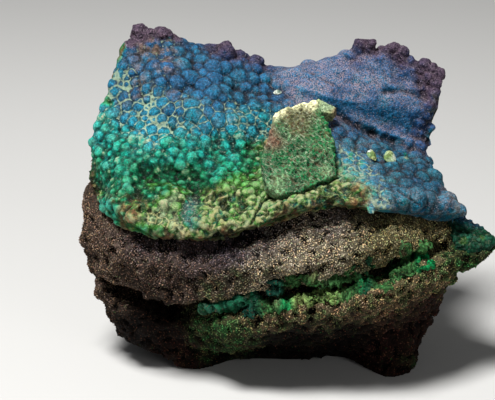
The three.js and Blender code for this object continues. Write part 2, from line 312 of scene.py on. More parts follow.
def holder(data: ID) -> Object:
    """Makes an object that holds some data and links it to the scene.

    Args:
        data: A mesh, a camera or a light.

    Returns:
        The object.
    """
    thing = bpy.data.objects.new(data.name, data)
    bpy.context.scene.collection.objects.link(thing)
    return thing


def shaped(shape: bmesh.types.BMesh, name: str) -> Mesh:
    """Makes a mesh of a bmesh and frees the bmesh.

    Args:
        shape: The bmesh.
        name: The mesh's name.

    Returns:
        The mesh.
    """
    mesh = bpy.data.meshes.new(name)
    shape.to_mesh(mesh)
    shape.free()
    return mesh


def applied(piece: Object) -> Mesh:
    """Applies an object's modifiers and removes the object.

    Args:
        piece: The object.

    Returns:
        The mesh that its modifiers make.
    """
    evaluated = piece.evaluated_get(bpy.context.evaluated_depsgraph_get())
    mesh = bpy.data.meshes.new_from_object(evaluated)
    bpy.data.objects.remove(piece)
    return mesh


def remeshed(mesh: Mesh, voxel: float) -> Mesh:
    """Draws one even skin over all the closed bodies of a mesh.

    Args:
        mesh: The mesh.
        voxel: Size of the skin's faces.

    Returns:
        The skin, without loose crumbs or sealed bubbles.
    """
    piece = holder(mesh)
    modifier = piece.modifiers.new("skin", "REMESH")
    modifier.mode = "VOXEL"
    modifier.voxel_size = voxel * MM
    return without_crumbs(applied(piece))


def without_crumbs(mesh: Mesh) -> Mesh:
    """Leaves only the largest connected body of a mesh.

    Args:
        mesh: The mesh, which is changed.

    Returns:
        The same mesh.
    """
    one, two = edge_ends(mesh).T
    label = np.arange(len(mesh.vertices))
    while True:
        low = np.minimum(label[one], label[two])
        fresh = label.copy()
        np.minimum.at(fresh, one, low)
        np.minimum.at(fresh, two, low)
        fresh = fresh[fresh]
        if (fresh == label).all():
            break
        label = fresh
    main = np.bincount(label).argmax()
    if (label != main).any():
        shape = bmesh.new()
        shape.from_mesh(mesh)
        crumbs = [vertex for vertex, body in zip(shape.verts, label) if body != main]
        bmesh.ops.delete(shape, geom=crumbs, context="VERTS")
        shape.to_mesh(mesh)
        shape.free()
    return mesh


def thinned(mesh: Mesh, weights: Array, ratio: float) -> Mesh:
    """Takes faces out of a mesh where weights are high.

    Args:
        mesh: The mesh to thin.
        weights: For each vertex, how freely its faces may go, from 0 to 1.
        ratio: Share of the faces that stays.

    Returns:
        The thinned mesh.
    """
    piece = holder(mesh)
    group = piece.vertex_groups.new(name="hidden")
    levels = weights.round(1)
    for level in np.unique(levels):
        group.add(np.flatnonzero(levels == level).tolist(), float(level), "REPLACE")
    modifier = piece.modifiers.new("thin", "DECIMATE")
    modifier.ratio = ratio
    modifier.vertex_group = group.name
    modifier.vertex_group_factor = 10
    return applied(piece)


def cad_copy(node: str) -> Mesh:
    """Copies a CAD node's mesh and merges the copy's doubles.

    Args:
        node: The node's name.

    Returns:
        The merged copy, without materials.
    """
    shape = bmesh.new()
    shape.from_mesh(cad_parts[node].data)
    bmesh.ops.remove_doubles(shape, verts=shape.verts, dist=1e-6)
    mesh = shaped(shape, node)
    mesh.materials.clear()
    return mesh


def surface_of(mesh: Mesh) -> BVHTree:
    """A mesh's surface for finding points on it."""
    corners = [Vector(p) for p in coordinates(mesh)]
    return BVHTree.FromPolygons(corners, [tuple(face.vertices) for face in mesh.polygons])


def distances(surface: BVHTree, points: Array) -> Array:
    """How far each of a number of points lies from a surface."""
    return np.array([surface.find_nearest(Vector(p))[3] for p in points])


def joined(meshes: Iterable[Mesh], name: str) -> Mesh:
    """Puts several meshes' faces into one mesh.

    Args:
        meshes: The meshes.
        name: The new mesh's name.

    Returns:
        The new mesh.
    """
    shape = bmesh.new()
    for mesh in meshes:
        shape.from_mesh(mesh)
    return shaped(shape, name)


class Pattern(Enum):
    """The kinds of relief that noise gives a surface, each from about -1 to 1."""

    ROLLING = "rolling"
    RIDGED = "ridged"
    COBBLED = "cobbled"
    PITTED = "pitted"


@dataclass(frozen=True)
class Relief:
    """Relief of one size.

    Attributes:
        pattern: Its kind.
        size: Size of its features.
        height: How far it rises.
        stretch: Factors on the coordinates, which draw features out along the axes with the least.
        offset: Where in the noise it is read, so that two reliefs differ.
        turn: How far drawn-out features are turned about Y.
    """

    pattern: Pattern
    size: float
    height: float
    stretch: Triple = (1, 1, 1)
    offset: float = 0.0
    turn: float = 0.0

    def sample(self, points: Array) -> Array:
        """Reads the relief.

        Args:
            points: An array of n points.

        Returns:
            Its height at each of them.
        """
        turned = points @ np.array(Matrix.Rotation(self.turn, 3, "Y"))
        at = [Vector(p) for p in turned * np.array(self.stretch) / self.size + self.offset]
        if self.pattern is Pattern.COBBLED:
            shape = np.array([1 - 2 * noise.voronoi(p)[0][0] for p in at])
        else:
            shape = np.array([noise.noise(p) for p in at]) * 1.6
        if self.pattern is Pattern.RIDGED:
            shape = 1 - 2 * np.abs(shape)
        if self.pattern is Pattern.PITTED:
            shape = -smoothstep(0.25, 0.6, shape)
        return shape * self.height


# ---- growth habits and where they grow
@dataclass(frozen=True)
class Habit:
    """How the crust grows in one area.

    Attributes:
        hue: Place on the colour series from violet through blue, teal and green to cream.
        radius: Usual radius of a ball.
        lift: How far the balls' tops stand over the crust's mean face.
        pale: How much chalky cream fills the creases.
        frost_sheen: How much fine rosy frost and painted sheen lies on what faces up.
        stain: How much iron stain covers it.
        violet: How far it is the dark violet crystal of the crest.
        soft: How far it is a velvet sheet rather than separate balls.
        broken: How far the surface is broken rather than grown.
        shade: How bright it is; where it is low, in the hollow, on the tip and under the lip, it is painted
            shade.
    """

    hue: float
    radius: float
    lift: float = 0.3
    pale: float = 0.0
    frost_sheen: float = 0.0
    stain: float = 0.0
    violet: float = 0.0
    soft: float = 0.0
    broken: float = 0.0
    shade: float = 1.0


class Growth(Enum):
    """The habits seen on the crust."""

    VIOLET_CREST = Habit(0.08, 1.0, lift=-0.8, frost_sheen=0.2, violet=1.0, shade=0.9)
    STAINED_MOUNDS = Habit(0.335, 1.9, lift=0.1, pale=0.25, frost_sheen=0.15, stain=0.85, soft=0.25, shade=0.82)
    DEEP_MOUNDS = Habit(0.35, 2.0, lift=0.1, frost_sheen=0.1, stain=0.02, soft=0.3, shade=0.9)
    BLUE_CELLS = Habit(0.4, 1.4, lift=0.0, pale=0.44, frost_sheen=0.04, stain=0.2, soft=0.1, shade=0.84)
    CREAM_WEB = Habit(0.44, 0.9, lift=-0.3, pale=0.7)
    TEAL_CELLS = Habit(0.47, 1.1, lift=0.1, pale=0.34, frost_sheen=0.03, stain=0.08)
    TEAL_BEADS = Habit(0.57, 0.9, lift=0.1, pale=0.06, stain=0.14, shade=1.15)
    TURQUOISE_BALLS = Habit(0.60, 1.2, lift=0.6, pale=0.06, stain=0.1, shade=1.1)
    STEEL_BALLS = Habit(0.55, 0.9, lift=0.3, pale=0.3, frost_sheen=0.3, shade=0.6)
    SEA_GREEN = Habit(0.66, 0.8, lift=-0.2, pale=0.04, stain=0.04, shade=1.05)
    # The emerald hollow's low shade is painted shade in the hollow.
    EMERALD_HOLLOW = Habit(0.74, 0.6, lift=-1.6, shade=0.62)
    LIME = Habit(0.86, 0.8, lift=-0.3, pale=0.15, stain=0.06)
    GREEN_FACE = Habit(0.77, 0.7, lift=-0.5, soft=0.7)
    SAGE_BALLS = Habit(0.93, 0.8, lift=0.3, pale=0.1, stain=0.15)
    CREAM_LUMPS = Habit(1.0, 0.8, lift=0.4, pale=0.5, stain=0.15, broken=0.3)
    BROKEN_RIM = Habit(0.88, 1.0, lift=0.1, pale=0.15, stain=0.4, broken=1.0)
    BROWN_LUMP = Habit(0.92, 1.3, lift=0.6, pale=0.1, stain=1.5, broken=0.8, shade=0.7)
    # Bare brown edge; its near-black shade along the underside of the lip is painted shadow.
    BARE_EDGE_AND_SHADOW = Habit(0.9, 0.7, lift=-0.6, stain=1.6, broken=1.0, shade=0.26)
    VELVET_PLATE = Habit(0.325, 1.2, lift=-0.15, frost_sheen=0.95, soft=1.0)
    NAVY_EDGE = Habit(0.15, 1.0, lift=0.0, frost_sheen=0.2, stain=0.1)
    MINT_EDGE = Habit(0.82, 0.5, lift=-0.1, pale=0.5, stain=1.2, soft=0.3, shade=0.45)
    BLUE_LOBE = Habit(0.41, 2.1, lift=0.2, frost_sheen=0.15, soft=0.45, shade=0.52)
    PALE_LOBE = Habit(0.43, 1.1, lift=0.0, pale=0.5, frost_sheen=0.3, stain=0.3, soft=0.3)
    # Rosy frost with painted sheen on the lip's upward faces.
    FROST_SHEEN_LIP = Habit(0.42, 1.5, lift=-0.1, pale=0.2, frost_sheen=0.6, stain=0.5, soft=0.6, shade=0.72)
    PALE_RIM = Habit(0.9, 0.5, lift=-0.1, pale=0.2, shade=0.5)
    # The tip's low shade is painted shade.
    TIP_SLOPE = Habit(0.68, 0.6, lift=-0.2, broken=0.1, shade=0.3)
    TIP_NAVY = Habit(0.24, 1.2, lift=0.1, shade=0.4)
    VUG_BAND = Habit(0.64, 1.1, lift=0.3, pale=0.03, shade=0.32)
    VUG_GREEN = Habit(0.72, 1.0, lift=-0.8, shade=0.42)
    CHIP_SEAT = Habit(0.37, 0.7, lift=-0.6, frost_sheen=0.1, soft=0.7, shade=0.8)


CRUST_SPOTS: SpotMap = {
    Growth.VIOLET_CREST: (
        (-32.3, 68.8, 1.3), (-29.6, 68.4, 1), (-26.6, 69, 1.4), (-23.7, 67.2, 0.8), (-15.9, 65, 1.3),
        (-13.3, 65, 1.4), (-10.8, 64.4, 1.3), (-7.2, 62.6, 1.2), (-4.5, 61, 0.8), (16.2, 66.4, 1.6),
        (20, 65, 1), (23.6, 65, 1.4), (29.5, 60.5, 1.6), (32.5, 59.5, 1.5), (30.5, 56.5, 1.8),
        (14.5, 62, 1.1), (31, 53.5, 1.2), (24.5, 62, 1),
    ),
    Growth.STAINED_MOUNDS: (
        (-29, 65, 1.5), (-26.5, 63, 2), (-32, 60.5, 1.5), (-25.5, 61, 1.5), (-31.5, 56, 1.5), (-24, 55, 1),
    ),
    Growth.DEEP_MOUNDS: (
        (-22, 62, 2), (-16.5, 61.5, 3), (-10.5, 59, 3), (-24, 58, 2.5), (-18, 56, 3), (-14, 55.5, 2.5),
        (-6.5, 59, 2.5), (-4, 55.5, 2.5), (-29.5, 59.5, 2), (-33.5, 61.5, 1.2), (-9, 54.5, 2),
        (-19, 64.8, 1.5),
    ),
    Growth.CHIP_SEAT: ((-1.9, 55.5, 0.8), (18.1, 42.2, 0.6), (22.1, 42.2, 0.7)),
    Growth.BLUE_CELLS: (
        (-27.5, 56, 1.5), (-34, 53.5, 2), (-24, 53, 2), (-19.5, 52.5, 2), (-14, 51.5, 2),
        (-27.5, 49.5, 1.5), (-22.5, 50, 2), (-18, 49.5, 2), (-35.5, 57, 1.5), (-35, 59, 1.2),
    ),
    Growth.CREAM_WEB: (
        (-30, 52.5, 1.5), (-29.5, 49.5, 1.5), (-26, 46.5, 1.5), (-34.5, 55.5, 0.7), (-35, 60, 0.7),
        (-29, 45, 1.3),
    ),
    Growth.TEAL_CELLS: (
        (-10.5, 51, 2), (-5.5, 50, 2), (-7.5, 46.5, 2), (-13, 47.5, 2), (-23, 47.5, 1.5), (-35, 49, 1.5),
        (-39, 51, 1.5), (-4, 47.5, 1.5), (-31.5, 47, 2),
    ),
    Growth.TEAL_BEADS: (
        (-40.5, 46.5, 2), (-36, 44.5, 2), (-19, 45.5, 2), (-23.5, 44.5, 1.5), (-39, 41, 2), (-32, 43.5, 2),
        (-27.5, 43, 2), (-13.5, 44.5, 1.5), (-9.5, 44, 1.5), (-38, 34, 1.5),
    ),
    Growth.TURQUOISE_BALLS: (
        (-20.5, 41, 1.5), (-23, 40, 1.5), (-17.5, 38, 1.5), (-29, 40.5, 1.5), (-34.5, 39, 2),
        (-13.5, 40.5, 1.5), (-10.5, 39.5, 1.5), (-25, 43.5, 1.5),
    ),
    Growth.STEEL_BALLS: ((-20.6, 29, 1.1), (-22, 31.5, 0.8), (-20, 27, 0.7)),
    Growth.SEA_GREEN: (
        (-38, 37, 2), (-32, 36.5, 2), (-27.5, 36, 1.5), (-36, 32, 1.5), (-30, 33, 1.5), (-40.5, 39, 1.5),
        (-22, 35, 1.5), (-7.5, 41, 1.5),
    ),
    Growth.EMERALD_HOLLOW: (
        (-26.5, 38.5, 1.5), (-21, 37.5, 2), (-19, 34.5, 1.5), (-24, 38, 1.5), (-29.5, 38, 1.5),
    ),
    Growth.GREEN_FACE: ((-30.5, 25.8, 0.7), (-28.2, 25.4, 0.7)),
    Growth.LIME: (
        (-38.9, 53.4, 0.6), (-26, 66.7, 0.2), (-13.6, 64.2, 0.2), (-9, 37.5, 1.5), (-6.5, 38, 1.5),
        (-12, 35.5, 1.5), (-5.5, 34.5, 1.5), (-10.5, 29.5, 1.5),
    ),
    Growth.SAGE_BALLS: (
        (-25.5, 33, 1.5), (-26, 29.5, 1.5), (-23, 33, 1), (-7, 35.5, 1), (-8, 43, 1.5), (-29, 35.5, 1),
    ),
    Growth.CREAM_LUMPS: (
        (-29.5, 28, 1), (-27, 27.2, 1), (-24.5, 26.8, 1), (-22, 25.8, 1), (-19, 25.5, 0.8),
        (-15.5, 26.8, 0.7), (-12, 27.5, 0.8), (-17.5, 32.5, 0.7), (-17, 30.5, 0.6), (-13.5, 34, 0.8),
        (-10, 26.8, 0.8), (-3.5, 29.2, 0.8), (-36.5, 33.2, 0.8), (-40, 33.5, 0.6), (-6.5, 27.6, 0.6),
        (1.5, 32.5, 0.7), (-9.5, 32, 0.6), (13.4, 41.6, 0.45), (25.5, 41.8, 0.3), (15.8, 39.5, 0.4),
    ),
    # Bare brown edge at the left, and a band of painted shadow under the lip.
    Growth.BARE_EDGE_AND_SHADOW: (
        (-43, 37.5, 0.9), (-42.8, 40.5, 0.6), (-42.6, 34.5, 0.9), (-5, 26, 0.6), (-29, 24.8, 0.5),
        (-26.4, 24.5, 0.7), (-23.5, 24.3, 0.8), (-20.5, 24.5, 0.9), (-17.5, 24.9, 1), (-14.5, 25, 1),
        (-11.5, 25.2, 0.8), (-8.5, 25.8, 0.7), (-6.5, 26.2, 0.6), (-4, 27.2, 0.6), (-2, 28.2, 0.6),
        (0.4, 29.9, 0.7), (3.5, 31, 0.7), (6.5, 31.9, 0.6), (9.5, 31, 0.6), (12.5, 31, 0.6),
        (15.5, 30.8, 0.5),
    ),
    Growth.BROKEN_RIM: (
        (-16.5, 32, 1.5), (-12, 32, 2), (-15, 29, 1.5), (-10, 29, 1.5), (-5.5, 31, 2), (-1.5, 31.5, 1.5),
        (-5.5, 28.5, 1.2), (-18, 28, 1.2), (9, 39.5, 1.5), (12, 36.5, 2), (8, 34.5, 2), (2.5, 32.5, 1.5),
        (12, 33, 1.5),
    ),
    Growth.BROWN_LUMP: (
        (-33.5, 31.5, 1.4), (-38.2, 32.3, 0.4), (-30.5, 30.5, 0.9), (-4, 34.5, 1), (-15.5, 33, 1),
        (15.5, 33.5, 1.5), (32, 42.5, 1), (31, 46, 0.8), (-4.6, 44.8, 0.8), (14.8, 43.5, 0.3),
    ),
    Growth.VELVET_PLATE: (
        (2.5, 58.5, 3), (9, 60.5, 3), (13.5, 57, 4), (19.5, 55.5, 4), (11, 52.5, 3), (18, 51, 3.5),
        (24, 51, 3), (25, 57, 3), (2.5, 55.5, 2), (26.5, 46.5, 2), (-1.5, 59.5, 1.5), (14, 61.5, 2),
    ),
    Growth.NAVY_EDGE: ((30, 48.5, 2), (32, 52.5, 1.5), (29.5, 44.5, 2), (13.5, 48, 1), (9, 50.5, 1.5)),
    Growth.MINT_EDGE: (
        (-36.5, 62.5, 0.5), (-36, 65, 0.5), (-38, 59.5, 0.5), (31.5, 51.5, 0.6), (31.8, 54, 0.5),
    ),
    Growth.BLUE_LOBE: (
        (10.5, 46.5, 2), (14.5, 46.5, 2), (19, 43.5, 2), (24, 40.5, 3), (28, 39.5, 2), (24, 35, 2.5),
        (30.5, 33, 2), (-1, 52.5, 1.5), (7.5, 48.5, 1.5),
    ),
    Growth.PALE_LOBE: (
        (14.5, 41.5, 1.5), (16.5, 38.5, 2), (20, 36, 1.5), (19.5, 32.5, 1.5), (11, 43, 1.5),
        (13.5, 37.5, 1.5),
    ),
    Growth.FROST_SHEEN_LIP: ((24.5, 31.5, 2), (29, 30, 2), (33.5, 31, 1.5), (37, 31.5, 1.5), (35.5, 33, 1.5)),
}

# The larger balls, each at its own place: across, up and radius.
CRUST_MOUNDS: tuple[Spot, ...] = (
    (-28.5, 65.5, 2.8), (-22.5, 61.5, 2.8), (-16, 60.5, 2.8), (-10.5, 59, 2.8), (-13, 57.5, 1.9),
    (-18, 59.5, 1.3), (-23.5, 57.5, 2.1), (-27.5, 57.5, 1.7), (-18, 57, 2.1), (-16, 55, 2.4),
    (-19.5, 54.5, 1.7), (-14, 54, 1.5), (-12, 52.5, 1.5), (-9, 56.5, 1.9), (-5, 58, 1.7), (-5, 56.2, 2),
    (-5.5, 54, 1.7), (-4.5, 52.5, 1.5), (-32, 60.5, 1.9), (-33, 57.5, 1.7), (-30.5, 56, 1.7),
    (-28, 55.5, 1.5), (-36, 57, 1.1), (-34.5, 52.5, 1.9), (-35, 49.5, 1.7), (-33.5, 49, 1.5),
    (-30.5, 54, 1.3), (-27, 53, 1.5), (-27, 49.5, 1.5), (-23, 51, 1.3), (-11, 61, 2.1), (-7, 60.5, 1.9),
    (-19.5, 61, 1.5), (-20.5, 41, 1.7), (-23, 40, 1.5), (-18, 38, 1.7), (-29, 40.5, 1.3), (-33, 39, 1.5),
    (-26.7, 31, 1.4), (-23.9, 30.6, 1.35), (-22.6, 32.8, 1.1), (-21.2, 29.4, 1), (-20.1, 30.7, 1),
    (-20, 27.6, 1), (-7, 35.5, 1.3), (-13.5, 44, 1.7), (-7.5, 47, 1.9), (-17.5, 44.5, 1.7),
    (-35, 43.5, 1.3), (11, 47, 1.9), (15, 47, 1.9), (19, 43.5, 1.7), (8, 48.5, 1.5), (27.5, 43, 1.4),
    (28.5, 39.5, 1.4), (31, 33, 1.8), (37, 31.5, 1.6), (27.5, 32.5, 1.5), (23.5, 40.5, 1.7),
    (23, 34.5, 1.7), (-32.3, 68.2, 1.8), (-29.6, 67.6, 1.4), (-27.2, 68.2, 1.7), (-25.4, 67.4, 1.4),
    (-23.6, 66.2, 1.3), (-21.8, 65, 1), (-19.4, 64, 0.9), (-15.9, 64.9, 1.4), (-13.5, 64.9, 1.6),
    (-10.8, 64.5, 1.4), (-7.3, 62.5, 1.5), (-6, 62, 1.1), (-3.9, 60.5, 0.9), (14, 64.8, 1.1),
    (15.9, 66.2, 1.7), (18, 65.8, 1.3), (20, 65.2, 1.1), (23, 65.2, 1.4), (24.8, 64.8, 1.4),
    (26.6, 62.4, 1.1), (29.4, 61.2, 1.3), (31.2, 61.4, 1.2), (32.8, 59.6, 1.3), (32, 57, 1.3),
    (30, 58.6, 1.1), (21.3, 64.4, 1.3), (-4.4, 44.8, 1.4), (31.7, 54.8, 1.7), (31.6, 52.5, 1.9),
    (31.4, 50, 1.8), (31, 47.7, 1.6),
)

TIP_SPOTS: SpotMap = {
    Growth.TIP_NAVY: ((34, 29.4, 1.2), (37.5, 29, 1.2), (40.5, 27.6, 0.8)),
    Growth.TIP_SLOPE: ((34, 26.5, 1.3), (37.5, 26, 1.4), (40.5, 25.3, 1), (35, 24, 1)),
    Growth.PALE_RIM: ((33.5, 22.5, 0.4), (37.5, 23.3, 0.4), (41.5, 24.2, 0.4)),
}

VUG_SPOTS: SpotMap = {
    Growth.VUG_BAND: ((-15, 11, 2), (-10, 11.5, 2)),
    Growth.VUG_GREEN: ((-17.5, 9, 2), (-8, 12, 2), (-12, 8.5, 2), (-7, 9, 2)),
}


@dataclass(frozen=True)
class Tone:
    """The look of a stony surface in one area.

    Attributes:
        red: Red of its grains, as a display value.
        green: Green of its grains, as a display value.
        blue: Blue of its grains, as a display value.
        moss: How far green covers it.
        rice: How closely loose grains lie on it.
        firm: How far it stays in place where the rest of a skin draws back.
    """

    red: float
    green: float
    blue: float
    moss: float = 0.0
    rice: float = 1.0
    firm: float = 0.0


class Stone(Enum):
    """The tones of the sandstone."""

    CREAM = Tone(212, 196, 166)
    OLIVE = Tone(160, 150, 108, moss=0.05)
    SLATE = Tone(98, 88, 98, rice=0.9)
    UMBER = Tone(138, 116, 100, rice=0.9)
    # The lower stone: reddish-brown and near black, darker towards the bottom, partly dark stone and partly
    # painted shade.
    RUST = Tone(70, 40, 34, moss=0.05, rice=0.3)
    DARK_SHADED_BASE = Tone(28, 20, 16, rice=0.25)
    MOSS = Tone(96, 106, 68, moss=0.8, rice=0.8)
    LEDGE = Tone(186, 160, 122, moss=0.7)
    STAINED = Tone(150, 138, 104, moss=0.75)
    NAPE = Tone(76, 70, 58, moss=0.3, rice=0.8)
    RIND = Tone(190, 198, 152, moss=0.3, rice=0.3)


STONE_SPOTS: SpotMap = {
    Stone.CREAM: (
        (2.6, 23.6, 5), (9, 21.4, 5), (0.4, 20.3, 4), (13.3, 18.8, 3), (-6, 18.8, 2.6), (-9.2, 13.9, 2),
    ),
    Stone.OLIVE: ((20.8, 21.4, 5), (24, 23.6, 4), (17.6, 23.6, 4)),
    Stone.SLATE: (
        (0.4, 26.8, 3), (-6, 24.6, 3), (11.2, 27.4, 3), (-18.9, 20.3, 4), (-10, 21.4, 3), (-29.6, 23.6, 4),
    ),
    Stone.UMBER: ((-39.3, 26.8, 3), (-29.6, 17.1, 5), (-36, 19.3, 4), (-18.9, 16, 4), (-38, 10, 4)),
    Stone.RUST: ((24, 2.1, 4), (19.7, -3.3, 4), (-26, 2, 3), (33, 8, 3)),
    # Near black at the bottom: dark stone with painted shade.
    Stone.DARK_SHADED_BASE: ((2.6, 0, 4), (-6, -2, 4), (-30, 7, 4), (12, 3, 3), (-35, 4, 4)),
    Stone.MOSS: (
        (-17, 7, 2.5), (-10.3, 2.1, 2), (-17, 4, 2), (36.9, 18.2, 2), (25.8, -2.2, 1.2), (-1, 12, 1),
        (16, 17.5, 1.2),
    ),
    Stone.STAINED: (
        (-17, 13.5, 1.5), (-11, 15.5, 1.2), (-4, 17, 1), (7, 17.5, 1), (14, 19.3, 1), (25, 22, 1.2),
    ),
    Stone.NAPE: ((-42, 55, 3), (0, 62, 8)),
    Stone.RIND: ((31, 56, 2), (31, 50, 3), (30, 44, 3)),
    Stone.LEDGE: (
        (9, 8.5, 2.5), (17.6, 10.7, 2.5), (24, 12.8, 2.5), (30.5, 16, 2.5), (0, 8, 2.5), (-8, 5.3, 2),
    ),
}


class Malachite(Enum):
    """The tones of the broken slab and of what lines the fissure."""

    RIM = Tone(222, 220, 172)
    UMBER = Tone(84, 84, 54)
    GREEN = Tone(14, 104, 56)
    DEEP = Tone(6, 68, 40)
    PALE = Tone(112, 142, 100)
    ROSY = Tone(112, 74, 62)
    SAGE = Tone(92, 116, 64, firm=1.0)
    RUFFLE = Tone(46, 82, 44)
    TEAL = Tone(14, 50, 40)
    TAN = Tone(132, 110, 84)
    STRAW = Tone(158, 166, 112)
    MINT = Tone(150, 172, 134)
    WHITE = Tone(190, 198, 184)
    ORANGE = Tone(206, 128, 88)


SLAB_SPOTS: SpotMap = {
    Malachite.RIM: ((-1.2, 51.2, 0.55), (1.5, 52.3, 0.55), (4.5, 52.4, 0.55), (-3, 50.2, 0.5)),
    Malachite.UMBER: ((1.8, 48.5, 1.6), (3.6, 46.8, 1.4)),
    Malachite.GREEN: (
        (-1, 46.5, 1.2), (5, 44, 2), (0, 40, 2), (4, 37.5, 1.6), (6.5, 46, 1.4), (-3, 42, 1.5),
    ),
    Malachite.DEEP: ((1.5, 43.5, 1.5), (5, 40.5, 1.5), (-3.5, 40, 1.4), (2, 36.5, 1.2)),
    Malachite.PALE: ((-1.5, 37, 1.2), (7.5, 38.5, 0.7), (1, 45.6, 0.8), (3, 42, 0.7)),
    Malachite.ROSY: ((-3.7, 44.5, 1.4), (-2.6, 44.9, 1.4), (-3.4, 45.4, 1.3), (-2, 44.2, 1.1)),
}

FLAKE_SPOTS: SpotMap = {
    Malachite.STRAW: ((6, 52.5, 0.6), (8.6, 50.4, 0.6)),
    Malachite.MINT: ((7, 52, 0.8), (8, 51.3, 0.8)),
    Malachite.TAN: ((9.8, 50.8, 0.5),),
}

WHITE_CHIP_SPOTS: SpotMap = {
    Malachite.WHITE: ((-2.7, 55.5, 0.3), (-1.2, 55.5, 0.3), (-1.9, 56, 0.3), (-1.9, 55, 0.3)),
    Malachite.TEAL: ((-1.9, 55.5, 0.22),),
}

LEFT_CHIP_SPOTS: SpotMap = {
    Malachite.STRAW: ((18.7, 42.6, 0.3), (18, 40.9, 0.3)),
    Malachite.WHITE: ((17.3, 43.1, 0.35),),
    Malachite.SAGE: ((18.1, 42, 0.35),),
    Malachite.PALE: ((17.5, 41.8, 0.3),),
}

RIGHT_CHIP_SPOTS: SpotMap = {
    Malachite.MINT: ((21.2, 42.6, 0.35), (22.9, 42.7, 0.35), (22.1, 43.3, 0.35), (22.1, 40.8, 0.35)),
    Malachite.STRAW: ((21.7, 42.4, 0.35),),
    Malachite.SAGE: ((21.9, 41.7, 0.4),),
    Malachite.WHITE: ((22.8, 41.4, 0.4),),
}

FLOOR_SPOTS: SpotMap = {
    Malachite.SAGE: ((2.5, 10.8, 1), (5.5, 11.6, 1.2), (8.5, 12.4, 1.2), (11, 13, 0.8)),
    Malachite.RUFFLE: ((-4, 9, 1.5), (14, 12, 1.6), (20, 14.5, 1.5), (25, 17, 1.5)),
    Malachite.GREEN: ((29, 19, 0.8), (16, 14, 0.8), (-1, 10, 0.8)),
    Malachite.TEAL: ((-8, 8.5, 1.5), (17, 13, 0.8)),
    Malachite.ORANGE: ((12.4, 14, 0.45),),
    Malachite.ROSY: ((7.3, 13.6, 0.6), (-2, 10.4, 0.6), (3, 9.6, 0.6)),
}

ROOF_SPOTS: SpotMap = {
    Malachite.RUFFLE: ((12, 18, 1.5), (20, 20, 2), (26, 21.5, 2), (2, 15, 1.5)),
    Malachite.TEAL: ((-3, 14, 1.2), (16, 18.5, 1)),
    Malachite.PALE: ((8, 17.5, 0.9), (23, 20.5, 0.8)),
    Malachite.UMBER: ((5, 16.8, 0.8), (18, 20.4, 0.7)),
}


# ---- balls and grains
@dataclass(frozen=True)
class Ball:
    """One ball of a botryoidal crust.

    Attributes:
        centre: Its centre.
        radius: Its radius.
        stretch: Factors that draw it out along its own axes.
        turn: How it is turned.
        block: Whether it is a broken block rather than a ball.
    """

    centre: Vector
    radius: float
    stretch: Triple
    turn: Triple
    block: bool


class NodeSheet:
    """Lays out the nodes of a tree and joins them up."""

    def __init__(self, tree: NodeTree) -> None:
        """Works on one node tree."""
        self.tree = tree
        self.count = 0

    def add(self, kind: str, feeds: Feeds | None = None, **settings: Setting) -> Node:
        """Adds a node beside the last one.

        Args:
            kind: The node's type.
            feeds: What goes into its inputs, by their names or numbers.
            **settings: Values of its properties.

        Returns:
            The node.
        """
        node = self.tree.nodes.new(kind)
        self.count += 1
        node.location = (self.count * 180, -(self.count % 4) * 160)
        for name, value in settings.items():
            setattr(node, name, value)
        for key, value in (feeds or {}).items():
            self.put(node.inputs[key], value)
        return node

    def put(self, socket: Socket, value: Feed) -> None:
        """Feeds a socket.

        Args:
            socket: The input.
            value: Another socket, or a constant.
        """
        if isinstance(value, Socket):
            self.tree.links.new(value, socket)
        else:
            socket.default_value = value


class GeometrySheet(NodeSheet):
    """A sheet on a new geometry node group with a mesh in and a mesh out."""

    def __init__(self, name: str) -> None:
        """Makes the group and its two ends.

        Args:
            name: The group's name.
        """
        super().__init__(bpy.data.node_groups.new(name, "GeometryNodeTree"))
        for side in ("INPUT", "OUTPUT"):
            self.tree.interface.new_socket("Geometry", in_out=side, socket_type="NodeSocketGeometry")
        self.start = self.add("NodeGroupInput").outputs[0]
        self.end = self.add("NodeGroupOutput").inputs[0]

    def named(self, name: str, kind: str = "FLOAT") -> Socket:
        """One of the mesh's own attributes."""
        return self.add("GeometryNodeInputNamedAttribute", {"Name": name}, data_type=kind).outputs[0]

    def random_vector(self, low: tuple, high: tuple, seed: int) -> Socket:
        """A random vector for each point, between two others."""
        feeds = {"Min": low, "Max": high, "Seed": seed}
        return self.add("FunctionNodeRandomValue", feeds, data_type="FLOAT_VECTOR").outputs[0]

    def on_points(self, points: Socket, shape: Socket, turn: Socket, size: Socket) -> NodeTree:
        """Stands a shape on every point and sends all of them out.

        Args:
            points: The points.
            shape: The shape.
            turn: How it is turned on each point.
            size: How it is stretched on each point.

        Returns:
            The finished group.
        """
        feeds = {"Points": points, "Instance": shape, "Rotation": turn, "Scale": size}
        placed = self.add("GeometryNodeInstanceOnPoints", feeds).outputs[0]
        self.put(self.end, self.add("GeometryNodeRealizeInstances", {"Geometry": placed}).outputs[0])
        return self.tree


def ball_grower(name: str, block: bool) -> NodeTree:
    """Makes the group that grows one shape on every point of a mesh, stretched and turned.

    Args:
        name: The group's name.
        block: Whether the shape is a block rather than a ball.

    Returns:
        The group.
    """
    sheet = GeometrySheet(name)
    if block:
        shape = sheet.add("GeometryNodeMeshCube", {"Size": (1.5, 1.5, 1.5)})
    else:
        shape = sheet.add("GeometryNodeMeshIcoSphere", {"Radius": 1.0, "Subdivisions": 3})
    turn = sheet.add("FunctionNodeEulerToRotation", {"Euler": sheet.named("turn", "FLOAT_VECTOR")})
    size = sheet.named("size", "FLOAT_VECTOR")
    return sheet.on_points(sheet.start, shape.outputs["Mesh"], turn.outputs[0], size)


